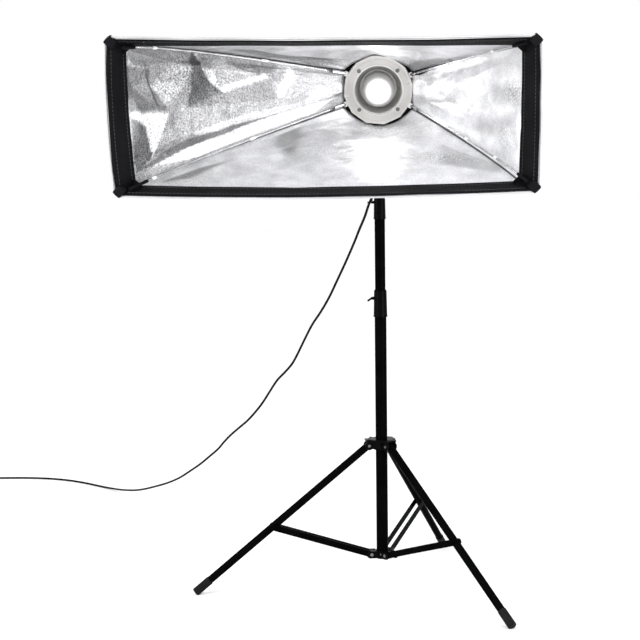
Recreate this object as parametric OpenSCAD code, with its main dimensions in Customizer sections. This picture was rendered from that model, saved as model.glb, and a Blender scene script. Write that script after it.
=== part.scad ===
// Strip softbox on a studio flash head, carried by a three-leg folding light stand.
// Millimetres, +Z up, the open front of the softbox faces -Y.
// The origin is the middle of the object's footprint box, on the floor.

/* [Stand] */
// Outer diameter of the lower column tube
lower_d = 25; // [24.5:0.1:25.5]
// Outer diameter of the middle column tube
mid_d = 22; // [21.5:0.1:22]
// Outer diameter of the top column tube
top_d = 19; // [18.5:0.1:19]
// Wall of the column tubes
tube_wall = 1.2; // [1:0.05:1.25]
// Outer diameter of the legs
leg_d = 16; // [14:0.5:16]
// Height of the leg pivots in the hub
hub_pivot_z = 308; // [306:1:309]
// Radius of the leg pivots from the column axis
hub_pivot_r = 28; // [27.5:0.5:28.5]
// Radius at which the leg axis meets the floor level of the feet
foot_r = 396.4; // [394:0.1:398]
// Height of the leg axis at that radius
foot_z = 7.9; // [7.5:0.1:8.2]
// Height of the brace pivots in the base collar
base_pivot_z = 74; // [73:1:75]
// Radius of the brace pivots from the column axis
base_pivot_r = 25; // [24.5:0.5:25.5]
// Fraction of the leg at which the brace is riveted
brace_at = 0.56; // [0.55:0.005:0.57]
// Width of a brace strap
strap_h = 13.5; // [12:0.5:15]
// Thickness of a brace strap
strap_t = 2.2; // [1.8:0.1:2.4]

/* [Column heights] */
// Underside of the lower lock collar
collar1_z = 582; // [580:1:584]
// Underside of the upper lock collar
collar2_z = 788; // [780:1:800]
// Underside of the stand socket of the head
socket_z = 905; // [902:1:910]

/* [Head] */
// Downward tilt of the head and softbox in degrees
tilt = 11.7; // [0:0.1:15]
// Height of the tilt pivot
pivot_z = 984.7; // [984:0.1:986]
// Width of the flash head housing
head_w = 118; // [112:1:120]
// Height of the flash head housing
head_h = 122; // [116:1:124]
// Length of the flash head housing
head_l = 226; // [220:1:232]

/* [Softbox] */
// Outer width of the front rim
rim_w = 763; // [755:1:770]
// Outer height of the front rim
rim_h = 276; // [270:1:280]
// Distance from the ring face to the rim plane
box_depth = 340; // [335:1:345]
// Sideways lean of the rim off the ring axis
rim_lean = -97.8; // [-100:0.1:-90]
// Depth of the black front lip
lip_d = 45; // [40:1:48]
// Outer diameter of the speed ring
ring_d = 137; // [136:1:140]
// Diameter of the softbox rods
rod_d = 4; // [3.5:0.1:4.2]

/* [Cord] */
// Diameter of the mains cord
cord_d = 5.5; // [5:0.1:6]

/* [Hidden] */
$fn = 40;
col_x = 97.9;           // column axis in the object's frame
col_y = 58.1;
az = [-51.3, -171.3, 68.7];   // right, left and rear leg directions

pv = -88;               // tilt pivot in the head frame, below the axis
ps = -115;              // and behind the ring face

leg_a = atan2(foot_r - hub_pivot_r, hub_pivot_z - foot_z);   // leg angle from vertical
leg_l = sqrt(pow(foot_r - hub_pivot_r, 2) + pow(hub_pivot_z - foot_z, 2));
jr = hub_pivot_r + (foot_r - hub_pivot_r) * brace_at;
jz = hub_pivot_z + (foot_z - hub_pivot_z) * brace_at;
brace_l = sqrt(pow(jr - base_pivot_r, 2) + pow(jz - base_pivot_z, 2));
brace_a = atan2(jr - base_pivot_r, jz - base_pivot_z);
strap_y = leg_d / 2 + 0.6;
cheek_y = strap_y + strap_t + 0.7;

// rim corners in the head frame: top left, top right, bottom left, bottom right
rim_c = [[rim_lean - rim_w / 2, rim_h / 2 + 5], [rim_lean + rim_w / 2 - 1, rim_h / 2 - 3],
         [rim_lean - rim_w / 2 + 1, -rim_h / 2 + 2.5], [rim_lean + rim_w / 2 + 1, -rim_h / 2 + 2.5]];
// seam corners at the back edge of the lip
seam_s = box_depth - lip_d;
seam_c = [[-456, 128], [259.5, 119], [-451.5, -129.5], [258, -130]];
// fabric corners at the ring
back_s = -26;
back_c = [[-82, 76], [78, 76], [-82, -76], [78, -76]];
// rod ends at the ring and at the rim, and the outward bow of each rod
rod_c = [[-66, 33.5], [66, 29], [-67.5, -29], [66, -34]];
rod_e = [[-452, 127.5], [260, 125], [-455, -127.5], [266, -121]];
rod_bow = [0.75, 0.15, 0.4, 0.5];

// mains cord route points, all by hand, in the column frame
lead_x = -14;           // line of the lead beside the column
lead_y = 18.5;
lead_az = 127.1;
run_head = [[1.4, 175.8, 1068], [1.4, 184, 1070], [1.2, 195, 1071], [0.5, 207, 1069], [-1, 218, 1063], [-3, 226, 1053], [-5, 231, 1040], [-8, 232, 1025],
    [-11, 229, 1008], [-13, 222, 991], [-15, 211, 976], [-16, 196, 963], [-17, 178, 954], [-18, 158, 949], [-18, 136, 948], [-18, 113, 950],
    [-17, 91, 953], [-16, 71, 955], [-15, 53, 955], [-14.5, 38, 951], [-14, 27, 943], [-14, 20.5, 932], [-14, 18.7, 926], [-14, 18.5, 920.4]];
run_neck = [[-14, 18.5, 907.6], [-14, 18.5, 905.6], [-14.5, 20, 902], [-15, 21.5, 898], [-14.5, 20, 894], [-14, 18.5, 890.4], [-14, 18.5, 888.4]];
run_tube = [[-14, 18.5, 877.6], [-14, 18.7, 870], [-14, 19, 862], [-14, 18.7, 854], [-14, 18.5, 846.4]];
run_main = [[-14, 18.5, 837.6], [-14, 18.5, 835.4], [-16.9, 20, 831], [-19.5, 21.5, 826], [-22.3, 23.5, 820], [-25.4, 27, 811], [-31.1, 33, 794], [-44.1, 50, 764], [-53, 64, 742], [-73, 93, 697],
    [-93, 121, 655], [-114, 151, 612], [-134, 180, 578], [-154, 207, 548], [-173, 234, 512], [-191, 259, 476], [-205, 281, 451],
    [-224, 307, 428], [-244, 334, 406], [-265, 364, 374], [-285, 393, 343], [-305, 419, 317], [-325, 447, 294], [-350, 484, 270],
    [-376, 520, 245], [-394, 545, 225], [-412, 571, 203], [-440, 610, 176], [-468, 648, 150], [-500, 692, 124], [-532, 735, 99],
    [-562, 776, 80], [-592, 816, 64], [-624, 858, 49], [-655, 900, 35], [-684, 940, 24], [-714, 980, 16], [-745, 1024, 9],
    [-780, 1066, 5], [-815, 1104, 3], [-850, 1138, 2.8], [-885, 1168, 2.8], [-922, 1194, 2.8], [-960, 1214, 2.8],
    [-1000, 1228, 2.8], [-1040, 1236, 2.8], [-1080, 1240, 2.8], [-1120, 1241, 2.8], [-1160, 1241, 2.8], [-1192, 1241, 2.8]];
coil_x = -1216;         // centre of the stored coil
coil_y = 1272;
coil_r = 31;            // middle radius of its turns
coil_n = 2;             // turns stacked
coil_w = 2;             // turns side by side
plug_x = -1300;

// ---------- frames and helpers ----------
module place() { translate([col_x, col_y, 0]) children(); }
module leg_dir(i) { place() rotate([0, 0, az[i]]) children(); }
// head frame: X right, Y up, Z forward along the lamp axis, zero at the ring face
module head_frame() { place() translate([-0.6, 0, pivot_z]) rotate([90 + tilt, 0, 0]) translate([0, -pv, -ps]) children(); }
module tube(ro, ri, z0, z1) { difference() { translate([0, 0, z0]) cylinder(r = ro, h = z1 - z0); translate([0, 0, z0 - 1]) cylinder(r = ri, h = z1 - z0 + 2); } }
module rod_x(r, x0, x1) { translate([x0, 0, 0]) rotate([0, 90, 0]) cylinder(r = r, h = x1 - x0); }
module rod_y(r, y0, y1) { translate([0, y0, 0]) rotate([-90, 0, 0]) cylinder(r = r, h = y1 - y0); }
module rounded(w, h, r) {
    square([w - 2 * r, h], center = true);
    square([w, h - 2 * r], center = true);
    for (x = [-1, 1], y = [-1, 1]) translate([x * (w / 2 - r), y * (h / 2 - r)]) circle(r = r);
}

function unit(v) = v / norm(v);
// sweeps a round section with n sides along the points p
module sweep(p, r, n) {
    m = len(p);
    t = [for (i = [0 : m - 1]) unit(p[min(i + 1, m - 1)] - p[max(i - 1, 0)])];
    a = [for (i = [0 : m - 1]) let (k = abs(t[i][2]) > 0.9 ? [1, 0.3, 0] : [0.2, 0.1, 1]) unit(cross(t[i], cross(k, t[i])))];
    b = [for (i = [0 : m - 1]) cross(t[i], a[i])];
    // each ring starts at the point nearest to the one before
    function twist(i) = i == 0 ? 0 : let (w = twist(i - 1), u = a[i - 1] * cos(w) + b[i - 1] * sin(w)) atan2(u * b[i], u * a[i]);
    ring = [for (i = [0 : m - 1]) let (w = twist(i)) for (j = [0 : n - 1]) p[i] + r * (cos(w + j * 360 / n) * a[i] + sin(w + j * 360 / n) * b[i])];
    polyhedron(points = ring, faces = concat([[for (j = [0 : n - 1]) j]], [[for (j = [n - 1 : -1 : 0]) (m - 1) * n + j]],
        [for (i = [0 : m - 2], j = [0 : n - 1]) [i * n + j, (i + 1) * n + j, (i + 1) * n + (j + 1) % n]],
        [for (i = [0 : m - 2], j = [0 : n - 1]) [i * n + j, (i + 1) * n + (j + 1) % n, i * n + (j + 1) % n]]));
}
// thin skin over a grid of points g, thickened by t along d
module skin(g, d, t) {
    m = len(g);
    c = len(g[0]);
    n = m * c;
    e = n - c;
    pts = concat([for (r = g, v = r) v], [for (r = g, v = r) v + t * d]);
    polyhedron(points = pts, faces = concat(
        [for (r = [0 : m - 2], k = [0 : c - 2]) [r * c + k, r * c + k + 1, r * c + c + k]],
        [for (r = [0 : m - 2], k = [0 : c - 2]) [r * c + k + 1, r * c + c + k + 1, r * c + c + k]],
        [for (r = [0 : m - 2], k = [0 : c - 2]) [n + r * c + k, n + r * c + c + k, n + r * c + k + 1]],
        [for (r = [0 : m - 2], k = [0 : c - 2]) [n + r * c + k + 1, n + r * c + c + k, n + r * c + c + k + 1]],
        [for (k = [0 : c - 2]) [k, n + k, k + 1]], [for (k = [0 : c - 2]) [k + 1, n + k, n + k + 1]],
        [for (k = [0 : c - 2]) [e + k, e + k + 1, n + e + k]], [for (k = [0 : c - 2]) [e + k + 1, n + e + k + 1, n + e + k]],
        [for (r = [0 : m - 2]) [r * c, r * c + c, n + r * c]], [for (r = [0 : m - 2]) [r * c + c, n + r * c + c, n + r * c]],
        [for (r = [0 : m - 2]) let (k = r * c + c - 1) [k, n + k, k + c]], [for (r = [0 : m - 2]) let (k = r * c + c - 1) [k + c, n + k, n + k + c]]));
}

// ---------- stand: column base ----------
module lower_tube() { color("#161616") place() tube(lower_d / 2, lower_d / 2 - tube_wall - 0.1, 66, 612); }
module base_plug() {
    color("#101010") place() {
        translate([0, 0, 63]) cylinder(r = lower_d / 2 - 0.5, h = 3);
        translate([0, 0, 66]) cylinder(r = lower_d / 2 - tube_wall - 0.1, h = 11);
    }
}
module base_collar() {
    color("#141414") difference() {
        union() {
            place() translate([0, 0, 65.2]) cylinder(r = 13.6, h = 16.2);
            for (i = [0 : 2]) leg_dir(i) {
                translate([12, -8, 66]) cube([base_pivot_r - 12, 16, 14]);
                translate([base_pivot_r, 0, base_pivot_z]) rod_y(7, -8, 8);
                // cheeks over the brace straps, the far one shorter
                cheek(-2);
                mirror([0, 1, 0]) { cheek(13.2); translate([13.2, 7, 66.6]) cube([2, cheek_y - 6, 12.8]); }
            }
        }
        place() translate([0, 0, 60]) cylinder(r = lower_d / 2, h = 30);
        for (i = [0 : 2]) leg_dir(i) translate([base_pivot_r, 0, base_pivot_z]) rod_y(2.55, -20, 20);
        for (i = [0 : 2]) leg_dir(i) translate([5, 0, base_pivot_z]) rod_y(1.55, 8, 20);
    }
}
module cheek(x0) {
    e = base_pivot_r + 3;
    translate([0, cheek_y + 2.4, base_pivot_z - 0.5]) rotate([90, 0, 0]) linear_extrude(height = 2.4)
        polygon(concat([[x0, -7.6], [e, -7.6]], [for (a = [-75 : 15 : 75]) [e + 7.6 * cos(a), 7.6 * sin(a)]], [[e, 7.6], [x0, 7.6]]));
}
module base_rivets() {
    color("#8f8f8f") for (i = [0 : 2]) leg_dir(i) {
        translate([base_pivot_r, 0, base_pivot_z]) {
            rod_y(2.5, -cheek_y - 2.4, cheek_y + 2.4);
            rod_y(3.4, cheek_y + 2.4, cheek_y + 3.7);
            rod_y(3.4, -cheek_y - 3.7, -cheek_y - 2.4);
        }
        // the small rivet in the longer cheek
        translate([5, 0, base_pivot_z]) { rod_y(1.5, 13, cheek_y + 2.5); rod_y(2.6, cheek_y + 2.5, cheek_y + 3.5); }
    }
}
// lock collar: grips the tube below, guides the tube above, side boss for its clamp screw
module lock_collar(z, h, ro, dr, rb, rt, zb, zk, rk) {
    difference() {
        union() {
            translate([0, 0, z]) cylinder(r1 = ro, r2 = ro - dr, h = h - 3);
            translate([0, 0, z + h - 3]) cylinder(r1 = ro - dr, r2 = ro - dr - 1.1, h = 3);
            translate([0, 0, z]) cylinder(r = ro + 0.5, h = 2.5);
            translate([0, 0, zk]) rotate([0, -90, 0]) cylinder(r1 = rk, r2 = rk - 2.2, h = ro + 2.6);
            // raised front panel with its small screw
            translate([0, -ro + 1.1, zk - 18]) cube([6, 2.6, 26], center = true);
            translate([-5.5, -ro + 3.2, z + 13]) rotate([90, 0, 0]) cylinder(r = 1.8, h = 3);
        }
        translate([0, 0, z - 1]) cylinder(r = rb, h = zb - z + 1);
        translate([0, 0, zb - 1]) cylinder(r = rt, h = z + h - zb + 2);
        translate([0, 0, zk]) rod_x(2.05, -ro - 10, 0);
    }
}
// clamp screw: shank, small hub and a lever wing, pointing along -X from the collar
module wing_knob(x, z, reach, drop, w, t) {
    translate([0, 0, z]) {
        rod_x(2, x - 3.6, reach);
        rod_x(3, x - 5.4, x - 3);
        translate([x - 4.4, 0, 0]) rotate([0, drop, 0]) { translate([-w, -1.6, -t / 2]) cube([w, 3.2, t]); translate([-w, 0, 0]) rod_y(t / 2, -1.6, 1.6); }
    }
}
module lock_collar_lower() { color("#151515") place() lock_collar(collar1_z, 57, 14.5, 1.1, lower_d / 2, mid_d / 2 + 0.05, 612, 621, 5.4); }
module collar_knob_lower() { color("#0f0f0f") place() wing_knob(-14.2, 621, -mid_d / 2 - 0.3, -34, 8.5, 4.2); }

// ---------- stand: sliding hub, legs and braces ----------
module hub_collar() {
    color("#131313") difference() {
        union() {
            place() translate([0, 0, 299]) cylinder(r = 17, h = 22);
            place() translate([0, 0, 317.5]) cylinder(r = 30, h = 3);
            place() translate([0, 0, 320.5]) cylinder(r1 = 30, r2 = 28.5, h = 1.2);
            // a bracket for each leg: two ears under a closed top
            for (i = [0 : 2]) leg_dir(i) {
                for (k = [-12, 8.4]) { translate([11, k, 301]) cube([hub_pivot_r - 6, 3.6, 20]); translate([hub_pivot_r, 0, hub_pivot_z]) rod_y(9, k, k + 3.6); }
                translate([11, -12, 317.5]) cube([hub_pivot_r - 4, 24, 3.5]);
            }
            place() rotate([0, 0, 128.7]) translate([0, 0, 308]) rod_x(6.5, 14, 26);
        }
        place() translate([0, 0, 280]) cylinder(r = lower_d / 2 + 0.05, h = 60);
        for (i = [0 : 2]) leg_dir(i) translate([hub_pivot_r, 0, hub_pivot_z]) rod_y(2.5, -20, 20);
        place() rotate([0, 0, 128.7]) translate([0, 0, 308]) rod_x(3.05, 0, 40);
        // flat that clears the clamp knob
        place() rotate([0, 0, 128.7]) translate([26, -20, 290]) cube([20, 40, 40]);
    }
}
module hub_rivets() {
    color("#9a9a9a") for (i = [0 : 2]) leg_dir(i) translate([hub_pivot_r, 0, hub_pivot_z]) {
        rod_y(2.5, -12, 12);
        rod_y(2.9, 12, 13.2);
        rod_y(2.9, -13.2, -12);
    }
}
module hub_knob() {
    color("#0f0f0f") place() rotate([0, 0, 128.7]) translate([0, 0, 308]) {
        rod_x(3, 12.8, 30);
        rod_x(11, 28, 40);
        for (k = [0 : 5]) rotate([k * 60, 0, 0]) translate([0, 0, 10.4]) rod_x(2.6, 28.8, 39.2);
    }
}
module leg(i) {
    leg_dir(i) translate([hub_pivot_r, 0, hub_pivot_z]) rotate([0, 180 - leg_a, 0]) difference() {
        union() { sphere(r = leg_d / 2); cylinder(r = leg_d / 2, h = leg_l - 9); }
        translate([0, 0, 12]) cylinder(r = leg_d / 2 - 1.3, h = leg_l);
        rod_y(2.55, -20, 20);
    }
}
module leg_right() { color("#141414") leg(0); }
module leg_left() { color("#141414") leg(1); }
module leg_rear() { color("#141414") leg(2); }
// rubber tip, cut level where it stands
module foot(i) {
    difference() {
        leg_dir(i) translate([hub_pivot_r, 0, hub_pivot_z]) rotate([0, 180 - leg_a, 0]) difference() {
            union() {
                translate([0, 0, leg_l - 34]) cylinder(r = leg_d / 2 + 1, h = 38.4);
                translate([0, 0, leg_l + 4.4]) cylinder(r1 = leg_d / 2 + 1, r2 = leg_d / 2 - 0.6, h = 1.6);
            }
            translate([0, 0, leg_l - 36]) cylinder(r = leg_d / 2, h = 27);
        }
        translate([-600, -600, -20]) cube([1200, 1200, 20]);
    }
}
module foot_right() { color("#0c0c0c") foot(0); }
module foot_left() { color("#0c0c0c") foot(1); }
module foot_rear() { color("#0c0c0c") foot(2); }
// two flat straps, one each side of the leg, with their rivet stubs at the leg
module brace(i) {
    leg_dir(i) translate([base_pivot_r, 0, base_pivot_z]) rotate([0, brace_a - 90, 0]) {
        for (k = [0, 1]) mirror([0, k, 0]) {
            difference() {
                union() {
                    translate([0, strap_y, -strap_h / 2]) cube([brace_l, strap_t, strap_h]);
                    for (x = [0, brace_l]) translate([x, 0, 0]) rod_y(strap_h / 2, strap_y, strap_y + strap_t);
                }
                rod_y(2.55, 0, 20);
                translate([brace_l, 0, 0]) rod_y(2.5, 0, 20);
            }
            translate([brace_l, 0, 0]) { rod_y(2.5, strap_y, strap_y + strap_t); rod_y(4, strap_y + strap_t, strap_y + strap_t + 1.5); }
        }
    }
}
module brace_right() { color("#171717") brace(0); }
module brace_left() { color("#171717") brace(1); }
module brace_rear() { color("#171717") brace(2); }

// ---------- stand: upper column ----------
module mid_tube() { color("#161616") place() tube(mid_d / 2, mid_d / 2 - tube_wall, 242, 812); }
module tube_bush_mid() { color("#222222") place() { tube(lower_d / 2 - tube_wall - 0.15, 8.6, 232, 242); tube(mid_d / 2 - tube_wall, 8.6, 242, 254); } }
module lock_collar_upper() {
    color("#151515") place() {
        lock_collar(collar2_z, 44, 12.6, 0.7, mid_d / 2, top_d / 2 + 0.05, 812, 823, 4.8);
        // moulded lead hook on a stalk behind the collar
        translate([-3, 10.4, 822]) cube([6, 3.6, 24]);
        translate([-12, 10.4, 838]) cube([12, 3.6, 8]);
        translate([lead_x, lead_y, 838]) cylinder(r = 5, h = 8);
        translate([lead_x - 2.5, 10.4, 838]) cube([5, 6, 8]);
    }
}
module collar_knob_upper() {
    color("#0f0f0f") place() translate([0, 0, 823]) {
        rod_x(2, -15.6, -top_d / 2 - 0.3);
        rod_x(2.8, -17.6, -15.4);
        rod_x(1.6, -25.5, -17);
        translate([-19.6, -1.4, 0]) rotate([0, 30, 0]) cube([2.4, 2.8, 7]);
    }
}
module top_tube() {
    color("#171717") place() {
        tube(top_d / 2, top_d / 2 - tube_wall, 420, 903);
        difference() {
            union() { translate([0, 0, 893]) cylinder(r = top_d / 2 - tube_wall, h = 10); translate([0, 0, 903]) cylinder(r = 8, h = 40); }
            translate([0, 0, 921]) tube(12, 6.8, 0, 7);
        }
    }
}
module tube_bush_top() { color("#222222") place() { tube(mid_d / 2 - tube_wall - 0.05, 4, 410, 420); tube(top_d / 2 - tube_wall, 4, 420, 430); } }

// ---------- head mount ----------
module stand_socket() {
    color("#1b1b1b") difference() {
        place() union() {
            translate([0, 0, socket_z]) cylinder(r = 17, h = 46);
            translate([0, 0, socket_z + 20]) rod_x(8, 0, 24);
            // umbrella shaft block below the fork
            translate([-13, -21, socket_z + 46]) cube([26, 42, 14]);
            for (k = [0, 1]) mirror([k, 0, 0]) {
                translate([11, -13, socket_z + 46]) cube([6, 26, pivot_z - socket_z - 46]);
                translate([0, 0, pivot_z]) rod_x(13, 11, 17);
            }
        }
        place() {
            translate([0, 0, socket_z - 1]) cylinder(r = 8.05, h = 42);
            translate([0, 0, socket_z + 20]) rod_x(3.05, 0, 40);
            translate([0, 0, socket_z + 53]) rod_y(4.25, -30, 30);
            translate([0, 0, pivot_z]) rod_x(4, -30, 30);
        }
    }
}
module socket_knob() {
    color("#101010") place() translate([0, 0, socket_z + 20]) {
        rod_x(3, 8.4, 30);
        rod_x(11, 27, 39);
        for (k = [0 : 5]) rotate([k * 60, 0, 0]) translate([0, 0, 10.4]) rod_x(2.6, 27.8, 38.2);
    }
}
module tilt_bolt() { color("#9c9c9c") place() translate([0, 0, pivot_z]) { rod_x(4, -17, 21); rod_x(7, -20.5, -17); } }
module tilt_knob() {
    color("#121212") place() translate([0, 0, pivot_z]) difference() {
        union() {
            rod_x(8, 17.3, 22);
            rod_x(12, 22, 34);
            for (k = [0 : 7]) rotate([k * 45 + 12, 0, 0]) translate([0, 0, 11.2]) rod_x(2.4, 22.8, 33.2);
        }
        rod_x(4.05, 10, 21.1);
    }
}

// ---------- flash head ----------
module tilt_lug() {
    color("#202020") head_frame() difference() {
        union() {
            translate([-9.9, pv, ps - 14]) cube([21, -pv - head_h / 2, 28]);
            translate([0, pv, ps]) rod_x(12.5, -9.9, 11.1);
            translate([-28, -head_h / 2 - 6, ps - 34]) cube([56, 6, 68]);
        }
        translate([0, pv, ps]) rod_x(4.05, -20, 20);
        translate([-30, -head_h / 2, ps - 60]) cube([60, 30, 120]);
    }
}
head_s0 = -44;                // front of the housing shell
head_s1 = head_s0 - head_l;   // rear of the housing shell
module head_housing() {
    color("#2a2b2d") head_frame() difference() {
        translate([0, 0, head_s1]) linear_extrude(height = head_l) rounded(head_w, head_h, 22);
        translate([0, 0, head_s1 - 1]) linear_extrude(height = head_l + 2) rounded(head_w - 5, head_h - 5, 19.5);
        // cooling slots in both sides
        for (k = [0 : 8]) translate([-head_w, -28, head_s1 + 30 + k * 11]) cube([2 * head_w, 56, 4]);
    }
}
module front_bezel() {
    color("#8d8d8c") head_frame() {
        difference() {
            translate([0, 0, head_s0]) linear_extrude(height = 12) rounded(head_w, head_h, 22);
            translate([0, 0, head_s0 - 1]) cylinder(r = 49, h = 14);
        }
        difference() {
            translate([0, 0, head_s0 + 12]) cylinder(r = 57, h = -head_s0 - 12 - 23);
            translate([0, 0, head_s0]) cylinder(r = 49, h = 60);
        }
    }
}
module rear_panel() {
    color("#1e1f21") head_frame() difference() {
        union() {
            translate([0, 0, head_s1 - 4]) linear_extrude(height = 4) rounded(head_w, head_h, 22);
            translate([0, 0, head_s1]) linear_extrude(height = 5) rounded(head_w - 5, head_h - 5, 19.5);
            // carrying handle across the top of the panel
            for (x = [-42, 42]) translate([x, 44, head_s1 - 4]) mirror([0, 0, 1]) cylinder(r = 5, h = 24);
            translate([0, 44, head_s1 - 28]) rod_x(6, -47, 47);
        }
        translate([0, 0, head_s1 - 6]) { translate([-12.2, -52.2, 0]) cube([28.4, 20.4, 12]); translate([22.8, -49.7, 0]) cube([15.4, 21.4, 12]); }
        translate([26, 4, head_s1 - 6]) cylinder(r = 3.1, h = 20);
        translate([-26, 4, head_s1 - 6]) cylinder(r = 4.1, h = 20);
    }
}
// display window, sync socket, fuse cap, sensor eye and indicator lamps on the rear panel
module panel_controls() {
    // mains inlet
    color("#0e0e0e") head_frame() difference() {
        translate([-12, -52, head_s1 - 4]) cube([28, 20, 20]);
        translate([-9, -49.5, head_s1 - 5]) cube([22, 15, 16]);
    }
    color("#3b3f45") head_frame() translate([0, 0, head_s1 - 4]) mirror([0, 0, 1]) {
        translate([-22, 18, 0]) cube([44, 16, 1.6]);
        translate([44, 4, 0]) cylinder(r = 4.5, h = 3);
        translate([-44, -40, 0]) cylinder(r = 6, h = 9);
        translate([0, -10, 0]) { cylinder(r = 6, h = 2); translate([0, 0, 2]) cylinder(r1 = 5, r2 = 2.5, h = 4); }
        for (x = [-8, 8]) translate([x, 8, 0]) cylinder(r = 1.8, h = 1.4);
    }
}
module power_rocker() {
    color("#0d0d0d") head_frame() translate([30.5, -39, head_s1 - 1.5]) difference() {
        rod_x(9, -7.5, 7.5);
        translate([-10, -12, 0.5]) cube([20, 24, 12]);
        translate([-10, -9, -12]) rotate([-9, 0, 0]) translate([0, -4, -1]) cube([20, 13, 6]);
    }
}
module power_dial() {
    color("#191919") head_frame() translate([-26, 4, 0]) {
        translate([0, 0, head_s1 - 16]) { cylinder(r = 10, h = 11.6); for (k = [0 : 11]) rotate([0, 0, k * 30]) translate([10, 0, 0]) cylinder(r = 0.9, h = 9); }
        translate([0, 0, head_s1 - 6]) cylinder(r = 4, h = 16);
    }
}
module test_button() { color("#7d1414") head_frame() translate([26, 4, head_s1 - 8]) { cylinder(r = 3, h = 16); translate([0, 0, 13.2]) cylinder(r = 5, h = 3); } }
// bayonet release: a thumb slide on top of the front bezel
module release_slide() {
    color("#b9b9b9") head_frame() { translate([-9, head_h / 2 + 0.3, head_s0 - 12]) cube([18, 5, 18]); translate([-9, head_h / 2 + 5.3, head_s0 - 12]) cube([18, 4, 4]); }
}
// circuit board, storage capacitors and cooling fan inside the housing
module inner_electronics() {
    color("#2f6b3a") head_frame() {
        translate([-56.3, -40, head_s1 + 30]) cube([112.6, 2, 150]);
        for (x = [-24, 24]) translate([x, -18, head_s1 + 60]) cylinder(r = 20, h = 90);
        translate([0, 24, head_s1 + 20]) {
            difference() { translate([-25, -25, 0]) cube([50, 50, 12]); translate([0, 0, -1]) cylinder(r = 22, h = 14); }
            cylinder(r = 8, h = 12);
            for (k = [0 : 6]) rotate([0, 0, k * 51.4]) translate([7, -1, 3]) cube([14.2, 2, 6]);
            translate([-26, -1, 0]) cube([52, 2, 2]);
        }
    }
}
module lamp_plate() {
    color("#a8a8a6") head_frame() {
        difference() { translate([0, 0, head_s0 + 2]) cylinder(r = 48.9, h = 3); translate([0, 0, head_s0]) cylinder(r = 12, h = 10); }
        difference() {
            translate([0, 0, head_s0 + 5]) cylinder(r = 48.9, h = 32);
            translate([0, 0, head_s0 + 4.9]) cylinder(r1 = 37, r2 = 47.4, h = 32.2);
        }
    }
}
module flash_lamp() {
    color("#fff6df") head_frame() {
        translate([0, 0, head_s0 + 12]) rotate_extrude() translate([25, 0]) circle(r = 3.5);
        for (k = [-1, 1]) translate([25 * k, 0, head_s0 + 5]) cylinder(r = 2.5, h = 5);
        difference() { translate([0, 0, head_s0 - 20]) cylinder(r = 11.8, h = 34); translate([0, 0, head_s0 + 6]) cylinder(r = 6, h = 30); }
        translate([0, 0, head_s0 + 6]) cylinder(r = 5.9, h = 16);
        translate([0, 0, head_s0 + 28]) sphere(r = 10);
    }
}
module glass_dome() {
    color("#f4f4f0", 0.6) head_frame() translate([0, 0, head_s0 + 5.2]) rotate_extrude() {
        difference() {
            union() { square([34, 34]); translate([0, 34]) intersection() { circle(r = 34); square([34, 34]); } }
            union() { translate([-1, -1]) square([32.6, 35]); translate([0, 34]) circle(r = 31.6); translate([-40, -1]) square([40, 80]); }
        }
    }
}

// ---------- softbox ----------
module speed_ring() {
    color("#c4c2bf") head_frame() difference() {
        union() {
            translate([0, 0, -22]) cylinder(r = ring_d / 2, h = 16, $fn = 40);
            translate([0, 0, -6]) rotate([0, 0, 9]) linear_extrude(height = 6) circle(r = ring_d / 2 + 1.2, $fn = 12);
            // raised inner step
            translate([0, 0, -1]) cylinder(r = 51.6, h = 2.4);
        }
        // seats for the heads of the clamp screws
        for (k = [0 : 3]) rotate([0, 0, 45 + k * 90]) translate([54.5, 0, 0]) cylinder(r = 4.2, h = 5);
        translate([0, 0, -30]) cylinder(r = 49, h = 40);
        for (k = [0 : 3]) rotate([0, 0, 45 + k * 90]) translate([54.5, 0, -30]) cylinder(r = 2.5, h = 40);
        // step groove around the face
        difference() { translate([0, 0, -0.9]) cylinder(r = 62.4, h = 2); translate([0, 0, -2]) cylinder(r = 61, h = 4); }
        // four slots that part the clamp segments
        for (k = [0 : 3]) rotate([0, 0, 12 + k * 90]) translate([56, -0.7, -2]) cube([20, 1.4, 10]);
    }
}
module clamp_screws() {
    color("#77777a") head_frame() for (k = [0 : 3]) rotate([0, 0, 45 + k * 90]) translate([54.5, 0, 0]) { translate([0, 0, -20]) cylinder(r = 2.5, h = 20); cylinder(r = 4, h = 2.4); }
}
function lerp(a, b, t) = a + (b - a) * t;
// rod i at fraction t of its way from the ring to the rim
function rod_p(i, t) = let (g = t * (1 + rod_bow[i] * (1 - t)))
    [lerp(rod_c[i][0], rod_e[i][0], g), lerp(rod_c[i][1], rod_e[i][1], g), lerp(-9, box_depth - 10, t)];
module softbox_rods() { color("#b8b8b8") head_frame() for (i = [0 : 3]) sweep([for (k = [0 : 12]) rod_p(i, 0.04 + k * 0.96 / 12)], rod_d / 2, 8); }
// the ferrule of each rod, on a lug beside the ring
module rod_sockets() {
    color("#a9a8a5") head_frame() for (i = [0 : 3]) let (a = atan2(rod_c[i][1], rod_c[i][0])) {
        sweep([rod_p(i, 0), rod_p(i, 0.039)], 3.8, 16);
        rotate([0, 0, a]) translate([ring_d / 2 + 0.1, -5, -16]) cube([6.6, 10, 9.8]);
    }
}
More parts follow.
